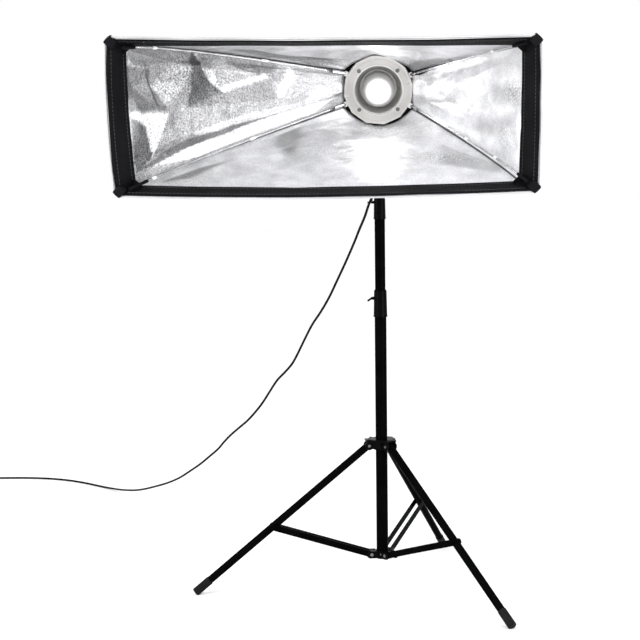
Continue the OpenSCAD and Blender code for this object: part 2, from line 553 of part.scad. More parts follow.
// corner line of the fabric: along its rod as far as the lip, then out to the rim
function along(s) = max(0, (s + 9) / (box_depth - 1));
function mix(i, s) = s < seam_s
    ? let (t = (s - back_s) / (seam_s - back_s), p = rod_p(i, along(s)), e = rod_p(i, along(seam_s)))
        [p[0] + lerp(back_c[i][0] - rod_c[i][0], seam_c[i][0] - e[0], t), p[1] + lerp(back_c[i][1] - rod_c[i][1], seam_c[i][1] - e[1], t), s]
    : let (t = (s - seam_s) / (box_depth - seam_s)) [lerp(seam_c[i][0], rim_c[i][0], t), lerp(seam_c[i][1], rim_c[i][1], t), s];
stations = [back_s, -9, 45, 100, 160, 225, seam_s];
// point a of the way between corner lines i and j, pushed along d by a bow b
function between(i, j, s, a, d, b) = mix(i, s) * (1 - a) + mix(j, s) * a + d * b * 4 * a * (1 - a);
shares = [0, 0.17, 0.33, 0.5, 0.67, 0.83, 1];
// outward bow of the top, bottom, left and right panels at the seam and at the rim
bow_seam = [0, 7.3, 3, 1];
bow_rim = [-5, 7.3, 5.2, 1.6];
module wall(i, j, d, b) { skin([for (a = shares) [for (s = stations) between(i, j, s, a, d, b * pow((s - back_s) / (seam_s - back_s), 2))]], d, 1.2); }
module wall_top() { color("#d9dadc") head_frame() wall(0, 1, [0, 1, 0], bow_seam[0]); }
module wall_bottom() { color("#d9dadc") head_frame() wall(3, 2, [0, -1, 0], bow_seam[1]); }
module wall_left() { color("#d9dadc") head_frame() translate([-0.05, 0, 0]) wall(2, 0, [-1, 0, 0], bow_seam[2]); }
module wall_right() { color("#d9dadc") head_frame() translate([0.05, 0, 0]) wall(1, 3, [1, 0, 0], bow_seam[3]); }
module lip_part(i, j, d, bs, br) { skin([for (a = shares) [between(i, j, seam_s + 0.3, a, d, bs), between(i, j, box_depth, a, d, br)]], d, 1.2); }
module front_lip() {
    color("#1a1a1b") head_frame() {
        lip_part(0, 1, [0, 1, 0], bow_seam[0], bow_rim[0]);
        lip_part(3, 2, [0, -1, 0], bow_seam[1], bow_rim[1]);
        translate([-0.05, 0, 0]) lip_part(2, 0, [-1, 0, 0], bow_seam[2], bow_rim[2]);
        translate([0.05, 0, 0]) lip_part(1, 3, [1, 0, 0], bow_seam[3], bow_rim[3]);
    }
}
// stitched pockets at the rim corners: an inner cup for each rod tip and an outer fold
module corner_pockets() {
    color("#121213") head_frame() for (i = [0 : 3]) let (x = rim_c[i][0], y = rim_c[i][1], sx = sign(x), sy = sign(y)) {
        translate([rod_e[i][0], rod_e[i][1], box_depth - 8.6]) cylinder(r = 5, h = 7.6);
        difference() {
            translate([x, y, box_depth - 14]) rotate([0, 0, 45]) translate([-7.5, -7.5, 0]) cube([15, 15, 14.5]);
            translate([x + sx * 2.4, y + sy * 2.4, box_depth - 20]) scale([-sx, -sy, 1]) cube([40, 40, 30]);
        }
    }
}

// ---------- mains lead ----------
// moulded connector and its strain relief, seated in the inlet
module lead_connector() {
    color("#0b0b0b") head_frame() translate([2, -42, 0]) {
        translate([-10.8, -7.3, head_s1 - 17]) cube([21.6, 14.6, 23]);
        translate([0, 0, head_s1 - 17]) mirror([0, 0, 1]) cylinder(r1 = 6.8, r2 = 3.4, h = 16.5);
    }
}
// lead clips: a lobe beside the column that holds the lead
module clip_socket() {
    color("#0f0f0f") place() {
        translate([lead_x, lead_y, 908]) cylinder(r = 5, h = 12);
        rotate([0, 0, lead_az]) translate([17, -3, 909]) cube([5, 6, 10]);
    }
}
module clip_tube() {
    color("#0f0f0f") place() {
        tube(11.6, top_d / 2, 878, 888);
        translate([lead_x, lead_y, 878]) cylinder(r = 5, h = 10);
        rotate([0, 0, lead_az]) translate([11.3, -2.5, 879]) cube([9, 5, 8]);
    }
}
module cord_head() { color("#0b0b0b") place() sweep(run_head, cord_d / 2, 8); }
module cord_neck() { color("#0b0b0b") place() sweep(run_neck, cord_d / 2, 8); }
module cord_tube() { color("#0b0b0b") place() sweep(run_tube, cord_d / 2, 8); }
module cord_main() { color("#0b0b0b") place() sweep(run_main, cord_d / 2, 8); }
// outer shape of the stored coil
module cord_coil() {
    color("#0b0b0b") place() translate([coil_x, coil_y, 0]) rotate_extrude($fn = 48)
        translate([coil_r - cord_d * coil_w / 2, 0]) square([cord_d * coil_w, cord_d * coil_n]);
}
// two-pin plug with a finger grip, strain relief and the short tail from the coil
module mains_plug() {
    color("#0d0d0d") place() {
        translate([plug_x, coil_y - coil_r, 12]) rotate([0, 90, 0]) {
            translate([0, 0, -12]) cylinder(r = 12, h = 24);
            translate([0, 0, 12]) cylinder(r1 = 11, r2 = 8, h = 8);
            translate([0, 0, 20]) cylinder(r1 = 4.8, r2 = 3.2, h = 22);
            for (y = [-9.5, 9.5]) translate([0, y * 0.9, -31]) cylinder(r = 2.4, h = 20);
        }
        sweep([[plug_x + 41, coil_y - coil_r, 12], [plug_x + 47, coil_y - coil_r, 11.2], [plug_x + 53, coil_y - coil_r, 9.6], [plug_x + 60, coil_y - coil_r, 8.4]], cord_d / 2, 8);
    }
}

lower_tube();
base_plug();
base_collar();
base_rivets();
lock_collar_lower();
hub_collar();
hub_rivets();
hub_knob();
leg_right();
leg_left();
leg_rear();
foot_right();
foot_left();
foot_rear();
brace_right();
brace_left();
brace_rear();
collar_knob_lower();
mid_tube();
tube_bush_mid();
lock_collar_upper();
collar_knob_upper();
top_tube();
tube_bush_top();
stand_socket();
socket_knob();
tilt_bolt();
tilt_knob();
tilt_lug();
head_housing();
front_bezel();
rear_panel();
panel_controls();
power_rocker();
power_dial();
test_button();
release_slide();
inner_electronics();
lamp_plate();
flash_lamp();
glass_dome();
speed_ring();
rod_sockets();
clamp_screws();
softbox_rods();
wall_top();
wall_bottom();
wall_left();
wall_right();
front_lip();
corner_pockets();
lead_connector();
clip_socket();
clip_tube();
cord_head();
cord_neck();
cord_tube();
cord_main();
cord_coil();
mains_plug();
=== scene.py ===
import math
import bpy
import numpy as np
from mathutils import Vector, Matrix, noise
from mathutils.geometry import delaunay_2d_cdt


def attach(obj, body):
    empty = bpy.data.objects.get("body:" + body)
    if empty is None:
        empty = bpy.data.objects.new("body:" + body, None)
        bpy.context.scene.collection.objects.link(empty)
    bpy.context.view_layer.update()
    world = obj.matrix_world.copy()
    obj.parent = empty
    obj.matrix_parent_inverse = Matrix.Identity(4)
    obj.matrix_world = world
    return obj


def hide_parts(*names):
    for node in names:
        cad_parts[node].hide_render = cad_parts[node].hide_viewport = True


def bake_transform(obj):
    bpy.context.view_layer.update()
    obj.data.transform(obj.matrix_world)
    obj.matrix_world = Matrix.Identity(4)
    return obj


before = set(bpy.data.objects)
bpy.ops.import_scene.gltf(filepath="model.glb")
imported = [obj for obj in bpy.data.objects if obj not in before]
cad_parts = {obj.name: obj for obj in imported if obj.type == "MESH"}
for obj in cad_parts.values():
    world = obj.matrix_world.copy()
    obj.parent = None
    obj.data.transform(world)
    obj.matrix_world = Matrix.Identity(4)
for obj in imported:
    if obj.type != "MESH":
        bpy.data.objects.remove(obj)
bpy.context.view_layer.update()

# ------------------------------------------------------------------ frames
CX, CY = 0.0979, 0.0581                      # column axis
TILT = math.radians(11.7)
UP = np.array([0.0, -math.sin(TILT), math.cos(TILT)])
FW = np.array([0.0, -math.cos(TILT), -math.sin(TILT)])
PIVOT = np.array([CX - 0.0006, CY, 0.9847])
RING = PIVOT + 0.088 * UP + 0.115 * FW       # middle of the speed ring's face


def head(u, v, s):
    """A point of the head frame (mm, right, up, forward) in the row frame (m)."""
    return RING + (np.array([1.0, 0, 0]) * u + UP * v + FW * s) / 1000.0


def col(x, y, z):
    """A point of the column frame (mm) in the row frame (m)."""
    return np.array([x / 1000.0 + CX, y / 1000.0 + CY, z / 1000.0])


# ------------------------------------------------------------------ camera
cam_data = bpy.data.cameras.new("camera")
cam = bpy.data.objects.new("camera", cam_data)
bpy.context.scene.collection.objects.link(cam)
PITCH, YAW, ROLL = 0.0850, -0.0404, -0.0117
fwd = Vector((math.sin(YAW) * math.cos(PITCH), math.cos(YAW) * math.cos(PITCH), -math.sin(PITCH)))
right0 = Vector((math.cos(YAW), -math.sin(YAW), 0))
up0 = right0.cross(fwd)
r_ = right0 * math.cos(ROLL) + up0 * math.sin(ROLL)
u_ = -right0 * math.sin(ROLL) + up0 * math.cos(ROLL)
cam.matrix_world = Matrix(((r_.x, u_.x, -fwd.x, CX), (r_.y, u_.y, -fwd.y, CY - 3.169), (r_.z, u_.z, -fwd.z, 0.846), (0, 0, 0, 1)))
cam_data.sensor_width = 36
cam_data.lens = 84.53
cam_data.clip_end = 100
bpy.context.scene.camera = cam


# ------------------------------------------------------------------ helpers
def link(name, verts, faces, smooth=True, mats=(), face_mat=None):
    me = bpy.data.meshes.new(name)
    me.from_pydata([tuple(float(c) for c in v) for v in verts], [], [tuple(f) for f in faces])
    me.validate()
    for m in mats:
        me.materials.append(m)
    if face_mat is not None:
        for p, k in zip(me.polygons, face_mat):
            p.material_index = int(k)
    for p in me.polygons:
        p.use_smooth = smooth
    me.update()
    ob = bpy.data.objects.new(name, me)
    bpy.context.scene.collection.objects.link(ob)
    return ob


def modify(ob, kind, **kw):
    m = ob.modifiers.new(kind.lower(), kind)
    for k, v in kw.items():
        setattr(m, k, v)
    return m


def bake(ob):
    """Turns an object's modifiers into plain mesh."""
    dg = bpy.context.evaluated_depsgraph_get()
    dg.update()
    me = bpy.data.meshes.new_from_object(ob.evaluated_get(dg))
    old = ob.data
    ob.modifiers.clear()
    ob.data = me
    bpy.data.meshes.remove(old)
    return ob


def spline(pts, step):
    """A smooth curve through points, resampled at an even step. Metres."""
    p = np.array(pts, float)
    ext = np.vstack([2 * p[0] - p[1], p, 2 * p[-1] - p[-2]])
    out = []
    for i in range(1, len(ext) - 2):
        p0, p1, p2, p3 = ext[i - 1:i + 3]
        d0 = max(np.linalg.norm(p1 - p0), 1e-9) ** 0.5
        d1 = max(np.linalg.norm(p2 - p1), 1e-9) ** 0.5
        d2 = max(np.linalg.norm(p3 - p2), 1e-9) ** 0.5
        m1 = (p1 - p0) / d0 - (p2 - p0) / (d0 + d1) + (p2 - p1) / d1
        m2 = (p2 - p1) / d1 - (p3 - p1) / (d1 + d2) + (p3 - p2) / d2
        m1 *= d1
        m2 *= d1
        for t in np.linspace(0, 1, 24, endpoint=False):
            out.append((2 * t ** 3 - 3 * t ** 2 + 1) * p1 + (t ** 3 - 2 * t ** 2 + t) * m1 + (-2 * t ** 3 + 3 * t ** 2) * p2 + (t ** 3 - t ** 2) * m2)
    out.append(p[-1])
    return even(np.array(out), step)


def even(q, step):
    seg = np.linalg.norm(np.diff(q, axis=0), axis=1)
    acc = np.concatenate([[0], np.cumsum(seg)])
    n = max(2, int(round(acc[-1] / step)) + 1)
    w = np.linspace(0, acc[-1], n)
    return np.stack([np.interp(w, acc, q[:, k]) for k in range(3)], 1)


def tube(name, pts, radius, sides=12, mat=None, caps=True, profile=None):
    """A round tube along points, with its own radius at each one if profile is given."""
    p = np.array(pts, float)
    n = len(p)
    t = np.zeros_like(p)
    t[1:-1] = p[2:] - p[:-2]
    t[0] = p[1] - p[0]
    t[-1] = p[-1] - p[-2]
    t /= np.linalg.norm(t, axis=1)[:, None]
    a = np.cross(t[0], [0.1, 0.3, 1.0] if abs(t[0][2]) < 0.9 else [1.0, 0.2, 0])
    a /= np.linalg.norm(a)
    verts, faces = [], []
    for i in range(n):
        a = a - t[i] * np.dot(a, t[i])
        a /= np.linalg.norm(a)
        b = np.cross(t[i], a)
        r = radius if profile is None else profile[i]
        for k in range(sides):
            w = 2 * math.pi * k / sides
            verts.append(p[i] + r * (math.cos(w) * a + math.sin(w) * b))
    for i in range(n - 1):
        for k in range(sides):
            k2 = (k + 1) % sides
            faces.append((i * sides + k, i * sides + k2, (i + 1) * sides + k2, (i + 1) * sides + k))
    if caps:
        faces.append(tuple(range(sides - 1, -1, -1)))
        faces.append(tuple((n - 1) * sides + k for k in range(sides)))
    ob = link(name, verts, faces, True, [mat] if mat else [])
    if caps:
        for f in ob.data.polygons[-2:]:
            f.use_smooth = False
    return ob


def join(name, obs):
    """Joins plain mesh objects into one."""
    verts, faces, idx, mats, sm = [], [], [], [], []
    for o in obs:
        base = len(verts)
        verts += [tuple(v.co) for v in o.data.vertices]
        for m in o.data.materials:
            if m not in mats:
                mats.append(m)
        for f in o.data.polygons:
            faces.append(tuple(base + k for k in f.vertices))
            idx.append(mats.index(o.data.materials[f.material_index]) if len(o.data.materials) else 0)
            sm.append(f.use_smooth)
    for o in obs:
        me = o.data
        bpy.data.objects.remove(o)
        bpy.data.meshes.remove(me)
    ob = link(name, verts, faces, False, mats, idx)
    for f, s in zip(ob.data.polygons, sm):
        f.use_smooth = s
    return ob


# ------------------------------------------------------------------ materials
def nodes_of(name):
    m = bpy.data.materials.new(name)
    m.use_nodes = True
    nt = m.node_tree
    bsdf = nt.nodes["Principled BSDF"]
    return m, nt, bsdf


def surface(name, a, b, rough=(0.35, 0.45), metallic=0.0, noise_scale=60, grain=900, bump=0.0002, coat=0.0, sheen=0.0,
            spec=0.5, wear=None, detail=4.0, stretch=None, emission=None):
    """Two close colours over a slow noise, roughness over a finer one, fine grain as bump, and pale wear on edges."""
    m, nt, bsdf = nodes_of(name)
    N, L = nt.nodes, nt.links
    tc = N.new("ShaderNodeTexCoord")
    src = tc.outputs["Object"]
    if stretch:
        mp = N.new("ShaderNodeMapping")
        mp.inputs["Scale"].default_value = stretch
        L.new(src, mp.inputs["Vector"])
        fine_src = mp.outputs["Vector"]
    else:
        fine_src = src
    n1 = N.new("ShaderNodeTexNoise")
    n1.inputs["Scale"].default_value = noise_scale
    n1.inputs["Detail"].default_value = detail
    L.new(src, n1.inputs["Vector"])
    ramp = N.new("ShaderNodeValToRGB")
    ramp.color_ramp.elements[0].position = 0.32
    ramp.color_ramp.elements[1].position = 0.68
    ramp.color_ramp.elements[0].color = (*a, 1)
    ramp.color_ramp.elements[1].color = (*b, 1)
    L.new(n1.outputs["Fac"], ramp.inputs["Fac"])
    color = ramp.outputs["Color"]
    n2 = N.new("ShaderNodeTexNoise")
    n2.inputs["Scale"].default_value = grain
    n2.inputs["Detail"].default_value = 3
    L.new(fine_src, n2.inputs["Vector"])
    mr = N.new("ShaderNodeMapRange")
    mr.inputs["From Min"].default_value = 0.3
    mr.inputs["From Max"].default_value = 0.7
    mr.inputs["To Min"].default_value = rough[0]
    mr.inputs["To Max"].default_value = rough[1]
    L.new(n2.outputs["Fac"], mr.inputs["Value"])
    L.new(mr.outputs["Result"], bsdf.inputs["Roughness"])
    if wear:
        g = N.new("ShaderNodeNewGeometry")
        wr = N.new("ShaderNodeMapRange")
        wr.inputs["From Min"].default_value = 0.53
        wr.inputs["From Max"].default_value = 0.62
        wr.inputs["To Min"].default_value = 0.0
        wr.inputs["To Max"].default_value = wear[1]
        L.new(g.outputs["Pointiness"], wr.inputs["Value"])
        mix = N.new("ShaderNodeMix")
        mix.data_type = "RGBA"
        mix.inputs["B"].default_value = (*wear[0], 1)
        L.new(wr.outputs["Result"], mix.inputs["Factor"])
        L.new(color, mix.inputs["A"])
        color = mix.outputs["Result"]
    L.new(color, bsdf.inputs["Base Color"])
    if bump:
        bp = N.new("ShaderNodeBump")
        bp.inputs["Strength"].default_value = 0.6
        bp.inputs["Distance"].default_value = bump
        L.new(n2.outputs["Fac"], bp.inputs["Height"])
        L.new(bp.outputs["Normal"], bsdf.inputs["Normal"])
    bsdf.inputs["Metallic"].default_value = metallic
    bsdf.inputs["Specular IOR Level"].default_value = spec
    if coat:
        bsdf.inputs["Coat Weight"].default_value = coat
        bsdf.inputs["Coat Roughness"].default_value = 0.12
    if sheen:
        bsdf.inputs["Sheen Weight"].default_value = sheen
        bsdf.inputs["Sheen Roughness"].default_value = 0.5
    if emission:
        bsdf.inputs["Emission Color"].default_value = (*emission[0], 1)
        bsdf.inputs["Emission Strength"].default_value = emission[1]
    return m


def woven(name, a, b, pitch=0.0011, rough=(0.6, 0.75), bump=0.00025, sheen=0.25, blotch=14, spec=0.35):
    """Plain weave: crossed wave bands in colour and bump over a slow blotch."""
    m, nt, bsdf = nodes_of(name)
    N, L = nt.nodes, nt.links
    tc = N.new("ShaderNodeTexCoord")
    waves = []
    for axis in ("X", "Z"):
        w = N.new("ShaderNodeTexWave")
        w.wave_type = "BANDS"
        w.bands_direction = axis
        w.inputs["Scale"].default_value = 0.314 / pitch / 2
        w.inputs["Distortion"].default_value = 0.6
        w.inputs["Detail"].default_value = 1.0
        L.new(tc.outputs["Object"], w.inputs["Vector"])
        waves.append(w)
    mul = N.new("ShaderNodeMath")
    mul.operation = "MULTIPLY"
    L.new(waves[0].outputs["Fac"], mul.inputs[0])
    L.new(waves[1].outputs["Fac"], mul.inputs[1])
    n1 = N.new("ShaderNodeTexNoise")
    n1.inputs["Scale"].default_value = blotch
    n1.inputs["Detail"].default_value = 5
    L.new(tc.outputs["Object"], n1.inputs["Vector"])
    add = N.new("ShaderNodeMath")
    add.operation = "MULTIPLY_ADD"
    add.inputs[1].default_value = 0.35
    L.new(mul.outputs[0], add.inputs[0])
    L.new(n1.outputs["Fac"], add.inputs[2])
    ramp = N.new("ShaderNodeValToRGB")
    ramp.color_ramp.elements[0].position = 0.35
    ramp.color_ramp.elements[1].position = 0.85
    ramp.color_ramp.elements[0].color = (*a, 1)
    ramp.color_ramp.elements[1].color = (*b, 1)
    L.new(add.outputs[0], ramp.inputs["Fac"])
    L.new(ramp.outputs["Color"], bsdf.inputs["Base Color"])
    mr = N.new("ShaderNodeMapRange")
    mr.inputs["To Min"].default_value = rough[0]
    mr.inputs["To Max"].default_value = rough[1]
    L.new(mul.outputs[0], mr.inputs["Value"])
    L.new(mr.outputs["Result"], bsdf.inputs["Roughness"])
    bp = N.new("ShaderNodeBump")
    bp.inputs["Strength"].default_value = 0.7
    bp.inputs["Distance"].default_value = bump
    L.new(mul.outputs[0], bp.inputs["Height"])
    L.new(bp.outputs["Normal"], bsdf.inputs["Normal"])
    bsdf.inputs["Specular IOR Level"].default_value = spec
    bsdf.inputs["Sheen Weight"].default_value = sheen
    bsdf.inputs["Sheen Roughness"].default_value = 0.4
    return m


def foil(name):
    """Silver coated lining: bright, crinkled, with a fine dark and bright speckle whose strength is painted on the
    mesh, and painted light and shade of its facets, also painted on the mesh, scaling its colour.
    """
    m, nt, bsdf = nodes_of(name)
    N, L = nt.nodes, nt.links
    tc = N.new("ShaderNodeTexCoord")
    at = N.new("ShaderNodeAttribute")
    at.attribute_name = "speckle"
    n1 = N.new("ShaderNodeTexNoise")
    n1.inputs["Scale"].default_value = 330
    n1.inputs["Detail"].default_value = 2
    n1.inputs["Roughness"].default_value = 0.7
    L.new(tc.outputs["Object"], n1.inputs["Vector"])
    ramp = N.new("ShaderNodeValToRGB")
    e = ramp.color_ramp.elements
    e[0].position = 0.36
    e[0].color = (0.10, 0.10, 0.105, 1)
    e[1].position = 0.62
    e[1].color = (0.85, 0.85, 0.86, 1)
    L.new(n1.outputs["Fac"], ramp.inputs["Fac"])
    n3 = N.new("ShaderNodeTexNoise")
    n3.inputs["Scale"].default_value = 26
    n3.inputs["Detail"].default_value = 5
    L.new(tc.outputs["Object"], n3.inputs["Vector"])
    base = N.new("ShaderNodeValToRGB")
    base.color_ramp.elements[0].position = 0.3
    base.color_ramp.elements[0].color = (0.50, 0.50, 0.515, 1)
    base.color_ramp.elements[1].position = 0.66
    base.color_ramp.elements[1].color = (0.70, 0.70, 0.71, 1)
    L.new(n3.outputs["Fac"], base.inputs["Fac"])
    mix = N.new("ShaderNodeMix")
    mix.data_type = "RGBA"
    L.new(at.outputs["Fac"], mix.inputs["Factor"])
    L.new(base.outputs["Color"], mix.inputs["A"])
    L.new(ramp.outputs["Color"], mix.inputs["B"])
    # painted light and shade: the colour is scaled by a brightness painted on the mesh, darker and lighter facets
    # standing in for how light falls on the folds
    tn = N.new("ShaderNodeAttribute")
    tn.attribute_name = "painted_light_shade"
    sc = N.new("ShaderNodeVectorMath")
    sc.operation = "SCALE"
    L.new(mix.outputs["Result"], sc.inputs[0])
    L.new(tn.outputs["Fac"], sc.inputs["Scale"])
    L.new(sc.outputs["Vector"], bsdf.inputs["Base Color"])
    # crinkles
    n2 = N.new("ShaderNodeTexNoise")
    n2.inputs["Scale"].default_value = 45
    n2.inputs["Detail"].default_value = 6
    n2.inputs["Roughness"].default_value = 0.62
    L.new(tc.outputs["Object"], n2.inputs["Vector"])
    b1 = N.new("ShaderNodeBump")
    b1.inputs["Strength"].default_value = 0.22
    b1.inputs["Distance"].default_value = 0.006
    L.new(n2.outputs["Fac"], b1.inputs["Height"])
    b2 = N.new("ShaderNodeBump")
    b2.inputs["Strength"].default_value = 0.55
    b2.inputs["Distance"].default_value = 0.0009
    L.new(n1.outputs["Fac"], b2.inputs["Height"])
    L.new(b1.outputs["Normal"], b2.inputs["Normal"])
    vo = N.new("ShaderNodeTexVoronoi")
    vo.feature = "F1"
    vo.inputs["Scale"].default_value = 17
    vo.inputs["Randomness"].default_value = 1.0
    wob = N.new("ShaderNodeMix")
    wob.data_type = "RGBA"
    wob.inputs["Factor"].default_value = 0.12
    L.new(tc.outputs["Object"], wob.inputs["A"])
    L.new(n3.outputs["Color"], wob.inputs["B"])
    L.new(wob.outputs["Result"], vo.inputs["Vector"])
    b3 = N.new("ShaderNodeBump")
    b3.inputs["Strength"].default_value = 0.16
    b3.inputs["Distance"].default_value = 0.010
    L.new(vo.outputs["Distance"], b3.inputs["Height"])
    L.new(b2.outputs["Normal"], b3.inputs["Normal"])
    L.new(b3.outputs["Normal"], bsdf.inputs["Normal"])
    mr = N.new("ShaderNodeMapRange")
    mr.inputs["To Min"].default_value = 0.30
    mr.inputs["To Max"].default_value = 0.52
    L.new(n3.outputs["Fac"], mr.inputs["Value"])
    L.new(mr.outputs["Result"], bsdf.inputs["Roughness"])
    bsdf.inputs["Metallic"].default_value = 0.72
    return m


def glow(name, c, strength, rough=0.5):
    m, nt, bsdf = nodes_of(name)
    N, L = nt.nodes, nt.links
    tc = N.new("ShaderNodeTexCoord")
    n = N.new("ShaderNodeTexNoise")
    n.inputs["Scale"].default_value = 120
    L.new(tc.outputs["Object"], n.inputs["Vector"])
    ramp = N.new("ShaderNodeValToRGB")
    ramp.color_ramp.elements[0].color = (c[0] * 0.94, c[1] * 0.94, c[2] * 0.94, 1)
    ramp.color_ramp.elements[1].color = (*c, 1)
    L.new(n.outputs["Fac"], ramp.inputs["Fac"])
    L.new(ramp.outputs["Color"], bsdf.inputs["Base Color"])
    L.new(ramp.outputs["Color"], bsdf.inputs["Emission Color"])
    bsdf.inputs["Emission Strength"].default_value = strength
    bsdf.inputs["Roughness"].default_value = rough
    return m


PALE = (0.20, 0.20, 0.205)
M_STAND = surface("enamel_black", (0.0010, 0.0010, 0.0011), (0.0018, 0.0018, 0.002), (0.16, 0.26), 0.0, 30, 260, 0.00010, spec=0.004)
M_NYLON = surface("nylon_black", (0.0012, 0.0012, 0.0013), (0.0022, 0.0022, 0.0024), (0.22, 0.34), 0.0, 50, 1500, 0.00008, spec=0.022)
M_RUBBER = surface("rubber_black", (0.005, 0.005, 0.005), (0.009, 0.009, 0.009), (0.5, 0.7), 0.0, 70, 1200, 0.0002, spec=0.06)
M_STEEL = surface("steel", (0.52, 0.52, 0.53), (0.68, 0.68, 0.69), (0.18, 0.32), 1.0, 90, 900, 0.00005, stretch=(1, 1, 0.2))
M_RIVET = surface("rivet_zinc", (0.10, 0.10, 0.10), (0.17, 0.17, 0.17), (0.30, 0.42), 0.8, 90, 900, 0.00003)
M_ROD = surface("rod_steel", (0.55, 0.55, 0.56), (0.8, 0.8, 0.81), (0.12, 0.22), 1.0, 60, 500, 0.00003)
M_RING = surface("ring_alloy", (0.42, 0.41, 0.398), (0.50, 0.488, 0.474), (0.36, 0.46), 0.25, 22, 1400, 0.00006, wear=((0.8, 0.79, 0.77), 0.3))
M_ALU = surface("alloy", (0.50, 0.50, 0.495), (0.60, 0.60, 0.59), (0.34, 0.46), 0.35, 40, 1400, 0.00006)
M_REFL = surface("reflector", (0.50, 0.50, 0.495), (0.60, 0.60, 0.59), (0.28, 0.36), 0.3, 40, 900, 0.00004)
M_CASE = surface("case_paint", (0.016, 0.016, 0.018), (0.026, 0.026, 0.028), (0.42, 0.56), 0.0, 34, 1300, 0.0004, wear=(PALE, 0.3))
M_PANEL = surface("panel_satin", (0.012, 0.012, 0.013), (0.020, 0.020, 0.022), (0.32, 0.42), 0.0, 60, 1600, 0.00008)
M_CTRL = surface("controls", (0.03, 0.032, 0.036), (0.05, 0.053, 0.058), (0.22, 0.34), 0.0, 90, 1400, 0.00006)
M_RED = surface("button_red", (0.30, 0.012, 0.012), (0.42, 0.02, 0.02), (0.2, 0.3), 0.0, 120, 1200, 0.00004, coat=0.3)
M_BOARD = surface("circuit_board", (0.015, 0.10, 0.035), (0.03, 0.16, 0.05), (0.3, 0.45), 0.0, 220, 1600, 0.00015)
M_PVC = surface("cord_pvc", (0.002, 0.002, 0.002), (0.005, 0.005, 0.005), (0.36, 0.5), 0.0, 40, 900, 0.0001, spec=0.05)
M_LIP = woven("lip_nylon", (0.003, 0.003, 0.0034), (0.008, 0.008, 0.009), 0.0012, sheen=0.006, spec=0.03)
M_OUTER = woven("outer_nylon", (0.003, 0.003, 0.0034), (0.009, 0.009, 0.010), 0.0012, sheen=0.02, spec=0.10)
M_PIPE = woven("piping_cloth", (0.36, 0.36, 0.37), (0.52, 0.52, 0.53), 0.0009, sheen=0.1)
M_TAB = woven("tab_cotton", (0.72, 0.72, 0.71), (0.9, 0.9, 0.9), 0.0007, sheen=0.1)
M_THREAD = woven("thread", (0.03, 0.03, 0.032), (0.07, 0.07, 0.072), 0.0006, sheen=0.2)
M_FOIL = foil("silver_lining")
M_DOME = glow("dome_lit", (1.0, 0.995, 0.98), 6.0)
M_LAMP = glow("lamp_tube", (1.0, 0.96, 0.86), 1.5)

# ------------------------------------------------------------------ mains cord
CORD_D = 0.0055
RUN_HEAD = [[1.4, 175.8, 1068], [1.4, 184, 1070], [1.2, 195, 1071], [0.5, 207, 1069], [-1, 218, 1063], [-3, 226, 1053], [-5, 231, 1040], [-8, 232, 1025],
    [-11, 229, 1008], [-13, 222, 991], [-15, 211, 976], [-16, 196, 963], [-17, 178, 954], [-18, 158, 949], [-18, 136, 948], [-18, 113, 950],
    [-17, 91, 953], [-16, 71, 955], [-15, 53, 955], [-14.5, 38, 951], [-14, 27, 943], [-14, 20.5, 932], [-14, 18.7, 926], [-14, 18.5, 920.4]]
RUN_NECK = [[-14, 18.5, 908.2], [-14, 18.6, 905.6], [-14.4, 19.8, 902], [-14.8, 20.6, 898], [-14.4, 19.8, 894], [-14, 18.6, 890.4], [-14, 18.5, 887.8]]
RUN_TUBE = [[-14, 18.5, 878.2], [-14, 18.7, 870], [-14, 19, 862], [-14, 18.7, 854], [-14, 18.5, 845.8]]
RUN_MAIN = [[-14, 18.5, 837.6], [-14.8, 18.9, 834], [-17.4, 20.2, 829.8], [-21.3, 22.8, 821.8], [-25.4, 27, 811], [-31.1, 33, 794], [-44.1, 50, 764], [-53, 64, 742], [-73, 93, 697],
    [-93, 121, 655], [-114, 151, 612], [-134, 180, 578], [-154, 207, 548], [-173, 234, 512], [-191, 259, 476], [-205, 281, 451],
    [-224, 307, 428], [-244, 334, 406], [-265, 364, 374], [-285, 393, 343], [-305, 419, 317], [-325, 447, 294], [-350, 484, 270],
    [-376, 520, 245], [-394, 545, 225], [-412, 571, 203], [-440, 610, 176], [-468, 648, 150], [-500, 692, 124], [-532, 735, 99],
    [-562, 776, 80], [-592, 816, 64], [-624, 858, 49], [-655, 900, 35], [-684, 940, 24], [-714, 980, 16], [-745, 1024, 9],
    [-780, 1066, 5], [-815, 1104, 3], [-850, 1138, 2.8], [-885, 1168, 2.8], [-922, 1194, 2.8], [-960, 1214, 2.8],
    [-1000, 1228, 2.8], [-1040, 1236, 2.8], [-1080, 1239.5, 2.8], [-1120, 1239.5, 2.8], [-1160, 1238.6, 2.8], [-1192, 1238.3, 2.8]]
COIL = (-1216.0, 1272.0)
R_OUT, R_IN, Z_LO, Z_HI = 33.75, 28.25, 2.75, 8.25


def ease(t):
    t = min(1.0, max(0.0, t))
    return 0.5 - 0.5 * math.cos(math.pi * t)


coil = []
for k in range(0, 1081, 6):
    r = R_OUT + (R_IN - R_OUT) * ease((k - 270) / 90.0) + (R_OUT - R_IN) * ease((k - 810) / 90.0)
    z = Z_LO + (Z_HI - Z_LO) * ease((k - 540) / 90.0)
    w = math.radians(-90 - k)
    coil.append([COIL[0] + r * math.cos(w), COIL[1] + r * math.sin(w), z])
TAIL = [[-1228, 1238.5, 8.4], [-1240, 1239.4, 8.8], [-1250, 1240.6, 10.4], [-1259, 1241, 12]]

